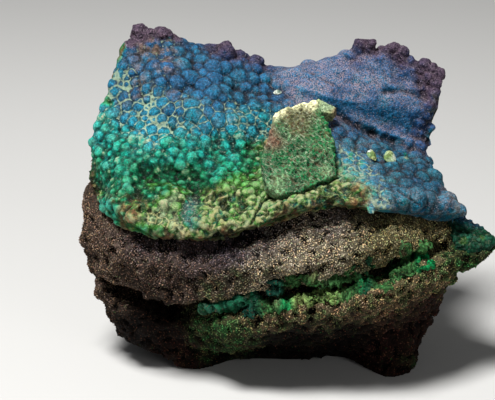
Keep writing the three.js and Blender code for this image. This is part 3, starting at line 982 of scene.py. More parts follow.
@dataclass(frozen=True)
class GrainSower:
    """Strews slender grains over a mesh, closest where its rice attribute is high.

    Attributes:
        gap: Least distance between two grains.
        density: Most grains on a square millimetre.
        slight: Half length and half widths of the smallest grains.
        stout: Half length and half widths of the largest grains.
        lean: How far a grain may stand up from the face.
    """

    gap: float = 0.36
    density: float = 9.0
    slight: Triple = (0.2, 0.1, 0.1)
    stout: Triple = (0.56, 0.19, 0.19)
    lean: float = 0.7

    def tree(self) -> NodeTree:
        """Lays out the group.

        Returns:
            The group. Each grain keeps a random number as its pick attribute.
        """
        sheet = GeometrySheet("sow_grains")
        sowing = {
            "Mesh": sheet.start,
            "Distance Min": self.gap * MM,
            "Density Max": self.density / MM**2,
            "Density Factor": sheet.named("rice"),
            "Seed": 3,
        }
        sown = sheet.add("GeometryNodeDistributePointsOnFaces", sowing, distribute_method="POISSON")
        pick = sheet.add("FunctionNodeRandomValue", {"Seed": 5}, data_type="FLOAT").outputs[1]
        marks = {"Geometry": sown.outputs["Points"], "Name": "pick", "Value": pick}
        marked = sheet.add("GeometryNodeStoreNamedAttribute", marks, data_type="FLOAT", domain="POINT")
        tilt = sheet.random_vector((0, -self.lean, 0), (0, self.lean, math.tau), 8)
        leant = sheet.add("FunctionNodeEulerToRotation", {"Euler": tilt}).outputs[0]
        turns = {"Rotation": sown.outputs["Rotation"], "Rotate By": leant}
        turn = sheet.add("FunctionNodeRotateRotation", turns, rotation_space="LOCAL").outputs[0]
        grain = sheet.add("GeometryNodeMeshUVSphere", {"Segments": 4, "Rings": 2, "Radius": MM})
        size = sheet.random_vector(self.slight, self.stout, 11)
        return sheet.on_points(marked.outputs[0], grain.outputs["Mesh"], turn, size)


def with_nodes(mesh: Mesh, tree: NodeTree) -> Mesh:
    """Runs a geometry node group on a mesh.

    Args:
        mesh: The mesh.
        tree: The group.

    Returns:
        What the group makes of it.
    """
    piece = holder(mesh)
    piece.modifiers.new("nodes", "NODES").node_group = tree
    return applied(piece)


@dataclass(frozen=True)
class Growers:
    """The geometry node groups that the pieces share.

    Attributes:
        ball: Grows a ball on each point.
        block: Grows a block on each point.
        grains: Strews grains over a mesh.
    """

    ball: NodeTree = field(default_factory=lambda: ball_grower("grow_balls", block=False))
    block: NodeTree = field(default_factory=lambda: ball_grower("grow_blocks", block=True))
    grains: NodeTree = field(default_factory=lambda: GrainSower().tree())

    def grow(self, balls: Sequence[Ball], block: bool) -> Mesh:
        """Grows the separate balls, or the blocks, among balls.

        Args:
            balls: The balls and blocks.
            block: Whether the blocks are grown.

        Returns:
            Their mesh.
        """
        chosen = [ball for ball in balls if ball.block == block]
        mesh = bpy.data.meshes.new("grown")
        mesh.from_pydata([ball.centre * MM for ball in chosen], [], [])
        for name, values in (
            ("size", [ball.radius * MM * s for ball in chosen for s in ball.stretch]),
            ("turn", [angle for ball in chosen for angle in ball.turn]),
        ):
            mesh.attributes.new(name, "FLOAT_VECTOR", "POINT").data.foreach_set("vector", values)
        return with_nodes(mesh, self.block if block else self.ball)


class Packing:
    """Places that are taken on a surface, on a grid for quick lookup."""

    def __init__(self, spacing: float, cell: float = 3.5) -> None:
        """Starts with nothing placed.

        Args:
            spacing: Least distance between two balls as a share of their radii's sum.
            cell: Size of a grid cell.
        """
        self.spacing = spacing
        self.cell = cell
        self.taken: dict[tuple[int, int, int], list[tuple[Vector, float]]] = {}

    def key(self, point: Vector) -> tuple[int, int, int]:
        """The grid cell that a point lies in."""
        return tuple(math.floor(c / self.cell) for c in point)

    def has_room(self, point: Vector, radius: float) -> bool:
        """Looks for room for a ball.

        Args:
            point: Where it would stand.
            radius: Its radius.

        Returns:
            Whether it fits there.
        """
        x, y, z = self.key(point)
        around = ((x + i, y + j, z + k) for i in (-1, 0, 1) for j in (-1, 0, 1) for k in (-1, 0, 1))
        return all(
            (point - other).length > self.spacing * (radius + size)
            for key in around
            for other, size in self.taken.get(key, ())
        )

    def take(self, point: Vector, radius: float) -> None:
        """Marks the place of a ball as taken."""
        self.taken.setdefault(self.key(point), []).append((point, radius))


class Colony:
    """The balls grown so far on one piece, and the draws that shape them."""

    uneven = 0.08  # how far a ball is drawn out or pressed in along an axis
    rugged = 0.3  # how much further where the surface is broken
    blocky = 0.75  # share of blocks where the surface is broken

    def __init__(self, seed: int, spacing: float) -> None:
        """Starts an empty colony.

        Args:
            seed: Seed of the draws.
            spacing: How closely the balls are packed.
        """
        self.draws = random.Random(seed)
        self.packing = Packing(spacing)
        self.balls: list[Ball] = []

    def grow(self, point: Vector, normal: Vector, radius: float, top: float, broken: float) -> None:
        """Grows one ball.

        Args:
            point: Where it stands on the face.
            normal: The face's normal there.
            radius: Its radius.
            top: How far its top stands over the face.
            broken: How far the surface is broken there.
        """
        self.packing.take(point, radius)
        spread = self.uneven + self.rugged * broken
        stretch = tuple(self.draws.uniform(1 - spread, 1 + spread) for _ in range(3))
        turn = tuple(self.draws.uniform(0, math.tau) for _ in range(3))
        block = self.draws.random() < self.blocky * broken
        self.balls.append(Ball(point + normal * (top - radius), radius, stretch, turn, block))


# ---- pieces
@dataclass(frozen=True)
class Groove:
    """A furrow along a line on the display face.

    Attributes:
        line: Its corners, each across and up.
        width: Its half width.
        depth: Its depth.
    """

    line: tuple[tuple[float, float], ...]
    width: float
    depth: float

    def closeness(self, flat: Array) -> Array:
        """Measures how near points are to the line.

        Args:
            flat: An array of (across, up) pairs.

        Returns:
            For each of them, a number from 0 well outside the groove to 1 on its line.
        """
        best = np.full(len(flat), np.inf)
        for start, end in zip(self.line, self.line[1:]):
            a, b = np.array(start), np.array(end)
            share = np.clip(((flat - a) @ (b - a)) / ((b - a) @ (b - a)), 0, 1)
            best = np.minimum(best, ((flat - a - share[:, None] * (b - a)) ** 2).sum(1))
        return np.exp(-best / self.width**2)


CRUST_GROOVES: tuple[Groove, ...] = (
    Groove(((10.5, 51), (13.5, 48.8), (18.2, 46.5)), 1.0, 0.9),
    Groove(((18.2, 46.5), (22.5, 44.6)), 0.8, 0.4),
    Groove(((20.8, 55.3), (24.5, 55.6), (28.3, 54.2)), 0.7, 0.6),
    Groove(((5.4, 59), (9.7, 56.8)), 0.4, 0.25),
    Groove(((-8, 27), (-5.5, 31.7), (-1.5, 33.8)), 0.22, 0.9),
    Groove(((23.6, 34.3), (26.6, 32.1), (28.3, 31)), 0.25, 0.4),
)


def carved(grooves: Sequence[Groove], points: Array) -> Array:
    """How deep a set of grooves is at points."""
    flat = VIEW.flatten(points)
    return sum((groove.depth * groove.closeness(flat) for groove in grooves), np.zeros(len(points)))


# The relief of the crust. Each stands out as far as its area has the quality that its name gives.
KNOBS = Relief(Pattern.COBBLED, 0.75, 0.1)
CREST_KNOBS = Relief(Pattern.COBBLED, 0.9, 0.16, offset=23)
PLATE_FOLDS = Relief(Pattern.RIDGED, 7.5, 0.45, (0.5, 1.0, 1.6), offset=31, turn=math.radians(24))
PLATE_RIPPLES = Relief(Pattern.ROLLING, 1.5, 0.1, offset=12)
LUMPS = Relief(Pattern.ROLLING, 1.3, 0.15, offset=17)
SWELLS = Relief(Pattern.ROLLING, 6.5, 0.6, offset=41)
BROKEN_PITS = Relief(Pattern.PITTED, 3.0, 0.6, offset=5)
BROKEN_CRUMBS = Relief(Pattern.COBBLED, 1.0, 0.25, offset=15)


@dataclass
class BotryoidalPiece:
    """Balls grown together over the bed that a CAD solid gives.

    Attributes:
        node: The CAD node that the piece stands for.
        habits: What grows where.
        seat: The CAD node that it grew on.
        voxel: Size of the finished skin's faces.
        bed_voxel: Size of the bed's faces.
        bed_drop: How far the bed lies below the CAD solid's face.
        spacing: How closely the balls are packed.
        seed: Seed of the random draws.
        tries: How many balls are tried at each of the bed's vertices.
        slightest: Smallest ball in fine growth, as a share of the usual radius.
        fuller: How much larger the smallest ball is in coarse growth.
        stoutest: Largest ball, as a share of the usual radius.
        largest: Greatest radius of a ball without a place of its own.
        hold: How far a ball may stand out of the bed, as a share of its radius.
        keep: Share of the faces that is left after the hidden side is thinned.
        depth: How far over the stone its free face starts.
        scale: Factor on the balls' radii.
        mounds: Balls with a place of their own.
        proud: How much further over the face those stand.
        crest: How much further still on the violet crest.
        merging: How many rounds of averaging run the balls together.
        velvet: How many rounds smooth a velvet sheet.
        grooves: Furrows carved into the face.
        pits: Depth of the pits between its lumps.
    """

    node: str
    habits: FieldMap
    seat: str = "sandstone_matrix"
    voxel: float = 0.31
    bed_voxel: float = 0.8
    bed_drop: float = 1.0
    spacing: float = 0.55
    seed: int = 7
    tries: int = 3
    slightest: float = 0.42
    fuller: float = 0.3
    stoutest: float = 1.62
    largest: float = 2.5
    hold: float = 1.75
    keep: float = 0.45
    depth: float = 1.6
    scale: float = 1.0
    mounds: tuple[Spot, ...] = ()
    proud: float = 0.35
    crest: float = 0.85
    merging: int = 4
    velvet: int = 16
    grooves: tuple[Groove, ...] = ()
    pits: float = 0.0

    @staticmethod
    def swell(radius: float, soft: float) -> float:
        """How much higher than the habit's lift a ball of this radius stands, less so on a velvet sheet."""
        return (0.4 * radius - 0.35) * (1 - soft)

    def bed_depth(self, values: dict[str, Array]) -> Array:
        """How far the bed lies below the CAD solid's face, from the habits' values."""
        soft, sunk = values["soft"], np.minimum(values["lift"], 0)
        return self.bed_drop * (1 - 0.75 * soft) - sunk * (1 - soft)

    def openness(self, points: Array) -> Array:
        """How far points belong to the free face, from 0 against the stone to 1 well over it."""
        gap = distances(surface_of(cad_copy(self.seat)), points)
        return smoothstep(0.5 * self.depth, self.depth, gap)

    def bed(self) -> Mesh:
        """Makes the bed between the balls.

        Returns:
            The CAD solid's form with its free face lowered.
        """
        mesh = remeshed(cad_copy(self.node), self.bed_voxel)
        points, out = coordinates(mesh), normals(mesh)
        drop = self.openness(points) * self.bed_depth(self.habits.sample(points))
        set_coordinates(mesh, points - out * drop[:, None])
        return mesh

    def balls(self) -> list[Ball]:
        """Grows the balls, the placed ones first and then the rest.

        Returns:
            All of them, in that order.
        """
        face = remeshed(cad_copy(self.node), self.bed_voxel)
        colony = Colony(self.seed, self.spacing)
        self.place_mounds(colony, surface_of(face))
        self.pack(colony, face)
        return colony.balls

    def place_mounds(self, colony: Colony, surface: BVHTree) -> None:
        """Grows the balls that have a place of their own.

        Args:
            colony: What they are added to.
            surface: The face that they stand on.
        """
        for across, up, radius in self.mounds:
            point, normal = VIEW.strike(surface, across, up)
            here = {name: float(value[0]) for name, value in self.habits.sample(np.array([point])).items()}
            extra = self.proud * (1 - here["soft"]) + self.crest * here["violet"]
            colony.grow(point, normal, radius, here["lift"] + self.swell(radius, here["soft"]) + extra, 0.0)

    def radii(self, usual: Array, draws: random.Random) -> Array:
        """Draws radii, most of them small.

        Args:
            usual: The usual radius at each place.
            draws: Where the draws come from.

        Returns:
            A radius for each place.
        """
        least = self.slightest + self.fuller * smoothstep(1.4, 2.0, usual)
        picks = np.array([draws.random() for _ in usual]) ** 2
        return np.minimum(usual * self.scale * (least + (self.stoutest - least) * picks), self.largest)

    def pack(self, colony: Colony, face: Mesh) -> None:
        """Fills the free face with balls, from large to small.

        Args:
            colony: What they are added to.
            face: The face that they stand on.
        """
        points, out = coordinates(face), normals(face)
        free = np.flatnonzero(self.openness(points) > 0.3)
        jitter = np.random.default_rng(self.seed).uniform(-0.5, 0.5, (len(free) * self.tries, 3))
        places = np.repeat(points[free], self.tries, axis=0) + jitter * self.bed_voxel
        facing = np.repeat(out[free], self.tries, axis=0)
        values = self.habits.sample(places)
        depth = self.bed_depth(values)
        radii = self.radii(values["radius"], colony.draws)
        lift, soft, broken = values["lift"], values["soft"], values["broken"]
        for i in sorted(range(len(places)), key=lambda k: -radii[k]):
            if colony.packing.has_room(Vector(places[i]), radii[i]):
                wobble = colony.draws.uniform(-0.25, 0.2) * (1 - soft[i])
                wobble += colony.draws.uniform(-0.5, 0.5) * broken[i]
                top = min(lift[i] + self.swell(radii[i], soft[i]) + wobble, self.hold * radii[i] - depth[i])
                colony.grow(Vector(places[i]), Vector(facing[i]), radii[i], top, broken[i])

    def build(self, growers: Growers) -> Mesh:
        """Makes the piece.

        Args:
            growers: The groups that grow its balls.

        Returns:
            The finished mesh with its attributes.
        """
        balls = self.balls()
        bodies = [self.bed()] + [growers.grow(balls, block) for block in (False, True)]
        skin = remeshed(joined(bodies, self.node), self.voxel)
        skin = thinned(skin, 1 - self.openness(coordinates(skin)), self.keep)
        self.merge(skin)
        grown = coordinates(skin)
        self.weather(skin)
        self.tuck(skin)
        self.dress(skin, grown, balls)
        LOG.info("%s: %d balls, %d triangles", self.node, len(balls), triangles(skin))
        return skin

    def merge(self, mesh: Mesh) -> None:
        """Fills the creases so that the balls run into each other, most of all on a velvet sheet.

        Args:
            mesh: The skin, which is changed.
        """
        points = coordinates(mesh)
        values = self.habits.sample(points)
        share = (0.35 + 0.65 * values["soft"]) * (1 - 0.8 * values["broken"]) * (1 - 0.8 * values["violet"])
        points = points + (evened(mesh, points, self.merging) - points) * share[:, None]
        velvet = smoothstep(0.5, 1.0, values["soft"])[:, None]
        set_coordinates(mesh, points + (evened(mesh, points, self.velvet) - points) * velvet)

    def weather(self, mesh: Mesh) -> None:
        """Adds the fine knobs on the balls, the pits of broken areas and the grooves.

        Args:
            mesh: The skin, which is changed.
        """
        points, out = coordinates(mesh), normals(mesh)
        values = self.habits.sample(points)
        soft, violet, broken = values["soft"], values["violet"], values["broken"]
        rise = Relief(Pattern.PITTED, 2.6, self.pits, offset=19).sample(points) - carved(self.grooves, points)
        for relief, share in (
            (KNOBS, 1 - 0.6 * soft),
            (CREST_KNOBS, violet),
            (PLATE_FOLDS, soft),
            (PLATE_RIPPLES, soft),
            (LUMPS, 1 - soft),
            (SWELLS, 1 - soft),
            (BROKEN_PITS, broken),
            (BROKEN_CRUMBS, broken),
        ):
            rise += relief.sample(points) * share
        set_coordinates(mesh, points + out * (rise * self.openness(points))[:, None])

    def tuck(self, mesh: Mesh) -> None:
        """Draws in what bulges out from the underside of the edge.

        Args:
            mesh: The skin, which is changed.
        """
        surface = surface_of(cad_copy(self.node))
        points = coordinates(mesh)
        found = [surface.find_nearest(Vector(p)) for p in points]
        foot, facing = (np.array([hit[k] for hit in found]) for k in (0, 1))
        outside = ((points - foot) * facing).sum(1) > 0
        share = 0.8 * outside * smoothstep(-0.1, -0.5, facing[:, 2])
        set_coordinates(mesh, points + (foot - points) * share[:, None])

    def creases(self, grown: Array, balls: Sequence[Ball]) -> tuple[Array, Array]:
        """Finds the creases between the balls and gives each ball a tint of its own.

        Args:
            grown: Where the skin's vertices lay before they were weathered.
            balls: The balls that it was grown from.

        Returns:
            For each vertex, its distance from a crease and its ball's tint.
        """
        tree = kdtree.KDTree(len(balls))
        for i, ball in enumerate(balls):
            tree.insert(ball.centre, i)
        tree.balance()
        crease, tint = np.empty(len(grown)), np.empty(len(grown))
        tints = np.random.default_rng(self.seed + 1).uniform(-1, 1, len(balls))
        for k, point in enumerate(grown):
            near = sorted((distance - balls[i].radius, i) for _, i, distance in tree.find_n(point, 8))
            crease[k] = min(near[1][0] - near[0][0], 0.55 - near[0][0])
            tint[k] = tints[near[0][1]]
        return crease, tint

    def dress(self, mesh: Mesh, grown: Array, balls: Sequence[Ball]) -> None:
        """Stores what the finish reads: the habit's values, creases, each ball's tint and what faces up.

        Args:
            mesh: The finished mesh.
            grown: Where its vertices lay before they were weathered.
            balls: The balls that it was grown from.
        """
        points, out = coordinates(mesh), normals(mesh)
        values = self.habits.sample(points)
        crease, tint = self.creases(grown, balls)
        store(
            mesh,
            crease=(1 - smoothstep(0.05, 0.6, crease)) * (1 - 0.9 * smoothstep(0.35, 1.0, values["soft"])),
            furrow=np.clip(carved(self.grooves, points), 0, 1),
            tint=tint,
            upward=smoothstep(-0.05, 0.85, out[:, 2]),
            ridge=np.clip(0.5 + 2.2 * ridges(mesh), 0, 1),
            **{name: values[name] for name in ("hue", "pale", "frost_sheen", "stain", "violet", "broken", "shade")},
        )


PATCHES = Relief(Pattern.ROLLING, 3.6, 1.6, offset=27)  # where a skin draws back into what lies behind it


@dataclass
class RoughPiece:
    """A broken or weathered piece: the CAD solid's form with relief added.

    Attributes:
        node: The CAD node that the piece stands for.
        tones: Its tone in each area.
        reliefs: The relief, from coarse to fine.
        voxel: Size of the finished skin's faces.
        keep: Share of the faces that is left after hidden sides are thinned.
        covers: CAD nodes that hide what lies under them.
        under: Distances from a cover at which hiding starts and is complete.
        base: Height of the part that stays flat on the ground.
        still: The pick attribute of its whole surface.
        retreat: Which way and how far patches of it draw back into what lies behind.
    """

    node: str
    tones: FieldMap
    reliefs: tuple[Relief, ...]
    voxel: float = 0.3
    keep: float = 1.0
    covers: tuple[str, ...] = ()
    under: tuple[float, float] = (1.3, 0.9)
    base: float = 0.3
    still: float = 0.2
    retreat: Triple = (0, 0, 0)

    def hidden(self, mesh: Mesh) -> Array:
        """Finds what is out of sight, on the base or under another piece.

        Args:
            mesh: The skin.

        Returns:
            For each of its vertices, a number from 0 in sight to 1 out of sight.
        """
        points, out = coordinates(mesh), normals(mesh)
        result = smoothstep(-0.8, -0.95, out[:, 2]) * (points[:, 2] < self.base)
        for cover in self.covers:
            gap = distances(surface_of(cad_copy(cover)), points)
            result = np.maximum(result, smoothstep(*self.under, gap))
        return result

    def build(self) -> Mesh:
        """Makes the piece.

        Returns:
            The finished mesh with its attributes.
        """
        skin = remeshed(cad_copy(self.node), self.voxel)
        if self.keep < 1:
            skin = thinned(skin, self.hidden(skin), self.keep)
        hidden = self.hidden(skin)
        points, out = coordinates(skin), normals(skin)
        rise = sum(relief.sample(points) for relief in self.reliefs)
        rise *= (1 - 0.8 * hidden) * smoothstep(0.0, 4 * self.base, points[:, 2])
        values = self.tones.sample(points)
        drawn = np.clip(0.5 + 0.5 * PATCHES.sample(points), 0, 1) * (1 - values["firm"])
        set_coordinates(skin, points + out * rise[:, None] + drawn[:, None] * np.array(self.retreat))
        store(
            skin,
            tone=linear(np.column_stack([values["red"], values["green"], values["blue"]])),
            moss=values["moss"],
            rice=values["rice"] * (1 - hidden) * smoothstep(self.base, 1.0, points[:, 2]),
            pick=np.full(len(points), self.still),
            ridge=np.clip(0.5 + 1.6 * ridges(skin), 0, 1),
        )
        LOG.info("%s: %d triangles", self.node, triangles(skin))
        return skin


# ---- shader building
# Numbers of a Mix node's colour sockets, which share their names with its other sockets.
MIX_FIRST, MIX_SECOND, MIX_RESULT = 6, 7, 2


class Sheet(NodeSheet):
    """A sheet on a shader tree."""

    def math(self, operation: str, *values: Feed, clamp: bool = False) -> Socket:
        """The result of a Math node."""
        node = self.add("ShaderNodeMath", dict(enumerate(values)), operation=operation, use_clamp=clamp)
        return node.outputs[0]

    def product(self, *values: Feed) -> Socket:
        """Several values multiplied."""
        return reduce(lambda first, second: self.math("MULTIPLY", first, second), values)

    def spread(self, value: Feed, low: float, high: float, to_low: float = 0, to_high: float = 1) -> Socket:
        """A value mapped from one range to another and kept inside it."""
        feeds = dict(enumerate((value, low, high, to_low, to_high)))
        return self.add("ShaderNodeMapRange", feeds, clamp=True).outputs["Result"]

    def mix(self, factor: Feed, first: Feed, second: Feed, blend: str = "MIX") -> Socket:
        """Two colours mixed, or the second blended over the first."""
        feeds = {0: factor, MIX_FIRST: first, MIX_SECOND: second}
        return self.add("ShaderNodeMix", feeds, data_type="RGBA", blend_type=blend).outputs[MIX_RESULT]

    def scaled(self, colour: Feed, factor: Feed) -> Socket:
        """A colour made lighter or darker by a factor."""
        feeds = {0: colour[:3] if isinstance(colour, tuple) else colour, "Scale": factor}
        return self.add("ShaderNodeVectorMath", feeds, operation="SCALE").outputs[0]

    def ramp(self, factor: Feed, stops: Series) -> Socket:
        """Picks a colour from a series.

        Args:
            factor: Where in the series it is picked, from 0 to 1.
            stops: The places and colours of the series.

        Returns:
            The colour.
        """
        node = self.add("ShaderNodeValToRGB", {"Fac": factor})
        elements = node.color_ramp.elements
        while len(elements) < len(stops):
            elements.new(1.0)
        for element, (position, colour) in zip(elements, stops):
            element.position = position
            element.color = colour
        return node.outputs["Color"]

    def texture(self, kind: str, size: Feed, detail: float | None = None, run: tuple | None = None) -> Node:
        """Adds a texture node in the object's own coordinates.

        Args:
            kind: The node's type.
            size: Size of its features.
            detail: Its detail, if it has one.
            run: Factors that draw the features out along three axes, and the turn of those axes.

        Returns:
            The node.
        """
        place = self.add("ShaderNodeTexCoord").outputs["Object"]
        if run:
            turned = {"Vector": place, "Scale": run[0], "Rotation": run[1]}
            place = self.add("ShaderNodeMapping", turned, vector_type="TEXTURE").outputs["Vector"]
        fixed = not isinstance(size, Socket)
        feeds = {"Vector": place, "Scale": 1 / (size * MM) if fixed else self.math("DIVIDE", 1 / MM, size)}
        if detail is not None:
            feeds["Detail"] = detail
        return self.add(kind, feeds)

    def noise(self, size: Feed, detail: float, run: tuple | None = None) -> Socket:
        """Noise with features of a size."""
        return self.texture("ShaderNodeTexNoise", size, detail, run).outputs["Fac"]

    def value(self, name: str) -> Socket:
        """One of the piece's own attributes, as a number."""
        return self.add("ShaderNodeAttribute", attribute_name=name).outputs["Fac"]

    def colour(self, name: str) -> Socket:
        """One of the piece's own attributes, as a colour."""
        return self.add("ShaderNodeAttribute", attribute_name=name).outputs["Color"]

    def group(self, tree: NodeTree, **inputs: Feed) -> dict[str, Socket]:
        """A shared group placed with its own values, as its outputs by name."""
        node = self.add("ShaderNodeGroup", inputs, node_tree=tree)
        return {socket.name: socket for socket in node.outputs}


class GroupSheet(Sheet):
    """A sheet on a new shader group with named value sockets."""

    def __init__(self, name: str, inputs: dict[str, float], outputs: Sequence[str]) -> None:
        """Makes the group.

        Args:
            name: The group's name.
            inputs: Each input's name and usual value.
            outputs: The outputs' names.
        """
        super().__init__(bpy.data.node_groups.new(name, "ShaderNodeTree"))
        make = self.tree.interface.new_socket
        for label, usual in inputs.items():
            make(label, in_out="INPUT", socket_type="NodeSocketFloat").default_value = usual
        for label in outputs:
            make(label, in_out="OUTPUT", socket_type="NodeSocketFloat")
        self.given = self.add("NodeGroupInput").outputs
        self.out = self.add("NodeGroupOutput").inputs


def sparkle_group() -> NodeTree:
    """Tiny crystal faces: a few bright specks among many that are each a little lighter or darker.

    Returns:
        The group. Grain is their size, and Share the part of them that are specks.
    """
    sheet = GroupSheet("crystal_sparkle", {"Grain": 0.3, "Share": 0.2}, ("Speck", "Tone", "Height"))
    cell = sheet.texture("ShaderNodeTexVoronoi", sheet.given["Grain"])
    parts = sheet.add("ShaderNodeSeparateColor", {"Color": cell.outputs["Color"]})
    threshold = sheet.math("SUBTRACT", 1.0, sheet.given["Share"])
    picked = sheet.math("MULTIPLY", sheet.math("SUBTRACT", parts.outputs["Red"], threshold), 12.0, clamp=True)
    core = sheet.spread(cell.outputs["Distance"], 0.3, 0.6, 1.0, 0.0)
    sheet.put(sheet.out["Speck"], sheet.product(picked, core))
    sheet.put(sheet.out["Tone"], parts.outputs["Green"])
    sheet.put(sheet.out["Height"], sheet.spread(cell.outputs["Distance"], 0.0, 0.7, 1.0, 0.0))
    return sheet.tree


def mottle_group() -> NodeTree:
    """Uneven colour, broad and fine, and scattered dark pits, painted shade standing for tiny holes.

    Returns:
        The group. Size is that of the blotches, and Pits how common the pits are.
    """
    sheet = GroupSheet("mottle", {"Size": 2.0, "Pits": 0.35}, ("Broad", "Fine", "Pit"))
    broad, fine, tiny = (sheet.math("MULTIPLY", sheet.given["Size"], share) for share in (2.5, 0.45, 0.3))
    sheet.put(sheet.out["Broad"], sheet.spread(sheet.noise(broad, 3.0), 0.3, 0.7))
    sheet.put(sheet.out["Fine"], sheet.spread(sheet.noise(fine, 3.0), 0.3, 0.7))
    low = sheet.math("SUBTRACT", sheet.given["Pits"], sheet.noise(tiny, 1.0))
    sheet.put(sheet.out["Pit"], sheet.math("MULTIPLY", low, 9.0, clamp=True))
    return sheet.tree


def vein_group() -> NodeTree:
    """A net of thin lines of two sizes, like crystal edges on a fracture.

    Returns:
        The group. Size is that of its meshes, and Width how wide its lines are.
    """
    sheet = GroupSheet("vein_net", {"Size": 1.2, "Width": 0.05}, ("Line",))
    lines = []
    for share in (1.0, 0.42):
        wave = sheet.noise(sheet.math("MULTIPLY", sheet.given["Size"], share), 2.0)
        off = sheet.math("ABSOLUTE", sheet.math("SUBTRACT", wave, 0.5))
        lines.append(sheet.math("SUBTRACT", 1.0, sheet.math("DIVIDE", off, sheet.given["Width"]), clamp=True))
    sheet.put(sheet.out["Line"], sheet.math("MAXIMUM", lines[0], sheet.math("MULTIPLY", lines[1], 0.8)))
    return sheet.tree


@dataclass(frozen=True)
class Groups:
    """The shader groups that the finishes share.

    Attributes:
        sparkle: Tiny crystal faces.
        mottle: Uneven colour and pits.
        veins: A net of thin lines.
    """

    sparkle: NodeTree = field(default_factory=sparkle_group)
    mottle: NodeTree = field(default_factory=mottle_group)
    veins: NodeTree = field(default_factory=vein_group)


@dataclass(frozen=True)
class Finish:
    """A material whose colour, roughness and height a subclass lays out.

    Attributes:
        name: The material's name.
        groups: The shared shader groups.
        specular: Strength of its gloss.
        bump_depth: Depth of its finest relief.
        grain: Size of its finest grains.
        specks: Share of the finest grains that are specks.
        blotch: Size of its blotches.
        pits: How common dark pits are.
        mesh: Size of the net of crystal edges on its broken faces.
    """

    name: str
    groups: Groups
    specular: float = 0.08
    bump_depth: float = 0.2
    grain: float = 0.4
    specks: float = 0.08
    blotch: float = 1.3
    pits: float = 0.34
    mesh: float = 1.1

    def lay_out(self, sheet: Sheet) -> tuple[Socket, Socket, Socket]:
        """The sockets for Base Color, Roughness and Height."""
        raise NotImplementedError

    def patterns(self, sheet: Sheet) -> tuple[dict[str, Socket], dict[str, Socket], Socket]:
        """Places the tiny crystals and the mottle.

        Args:
            sheet: The material's sheet.

        Returns:
            The outputs of the crystals, the outputs of the mottle and the height of both together.
        """
        sparkle = sheet.group(self.groups.sparkle, Grain=self.grain, Share=self.specks)
        mottle = sheet.group(self.groups.mottle, Size=self.blotch, Pits=self.pits)
        crystals = sheet.product(sparkle["Height"], 0.5)
        return sparkle, mottle, sheet.math("MULTIPLY_ADD", mottle["Fine"], 0.8, crystals)

    def material(self) -> Material:
        """Makes the material.

        Returns:
            The finished material.
        """
        made = bpy.data.materials.new(self.name)
        made.use_nodes = True
        sheet = Sheet(made.node_tree)
        shader = made.node_tree.nodes["Principled BSDF"]
        colour, rough, height = self.lay_out(sheet)
        sheet.put(shader.inputs["Base Color"], colour)
        sheet.put(shader.inputs["Roughness"], rough)
        shader.inputs["Specular IOR Level"].default_value = self.specular
        bump = sheet.add("ShaderNodeBump", {"Distance": self.bump_depth * MM, "Height": height})
        sheet.put(shader.inputs["Normal"], bump.outputs["Normal"])
        return made


# Colours of the crust along its series, from the dark violet crest to the cream-green lower edge.
CRUST_SERIES: Series = (
    (0.00, srgb(44, 34, 48)),
    (0.12, srgb(22, 30, 62)),
    (0.25, srgb(22, 60, 96)),
    (0.35, srgb(22, 76, 106)),
    (0.45, srgb(24, 101, 119)),
    (0.56, srgb(18, 120, 108)),
    (0.65, srgb(16, 110, 76)),
    (0.76, srgb(14, 84, 38)),
    (0.86, srgb(64, 122, 46)),
    (0.94, srgb(98, 122, 88)),
    (1.00, srgb(130, 140, 106)),
)


@dataclass(frozen=True)
class CrustFinish(Finish):
    """Velvety fine-grained crust, coloured by its habit.

    Attributes:
        frost_sheen: Colour of the rosy frost and painted sheen.
        cap: Colour of the dust on the tops of some balls.
        cool_chalk: Colour of the chalk in the creases among the blues.
        warm_chalk: Its colour among the greens, and that of the painted highlight on the greenest balls.
        top_highlight: Colour of the painted highlight on the tops of the teal balls.
        rust: Colour of the iron stain.
        crystal_dark: Colour of the crest's darkest crystals.
        crystal_light: Colour of its lightest crystals.
        glint: Colour of the painted glints, painted highlights on a few tiny crystals.
    """

    grain: float = 0.26
    specks: float = 0.2
    blotch: float = 1.6
    mesh: float = 1.3
    frost_sheen: Colour = srgb(168, 144, 150)
    cap: Colour = srgb(170, 160, 128)
    cool_chalk: Colour = srgb(146, 168, 142)
    warm_chalk: Colour = srgb(168, 168, 118)
    top_highlight: Colour = srgb(96, 166, 144)
    rust: Colour = srgb(122, 92, 62)
    crystal_dark: Colour = srgb(20, 16, 28)
    crystal_light: Colour = srgb(98, 80, 94)
    glint: Colour = srgb(196, 182, 190)

    def lay_out(self, sheet: Sheet) -> tuple[Socket, Socket, Socket]:
        """The crust's colour painted in layers, its roughness and its height."""
        paint = CrustPaint(self, sheet)
        return paint.finished(), sheet.spread(paint.tone, 0.0, 1.0, 0.5, 0.85), paint.height


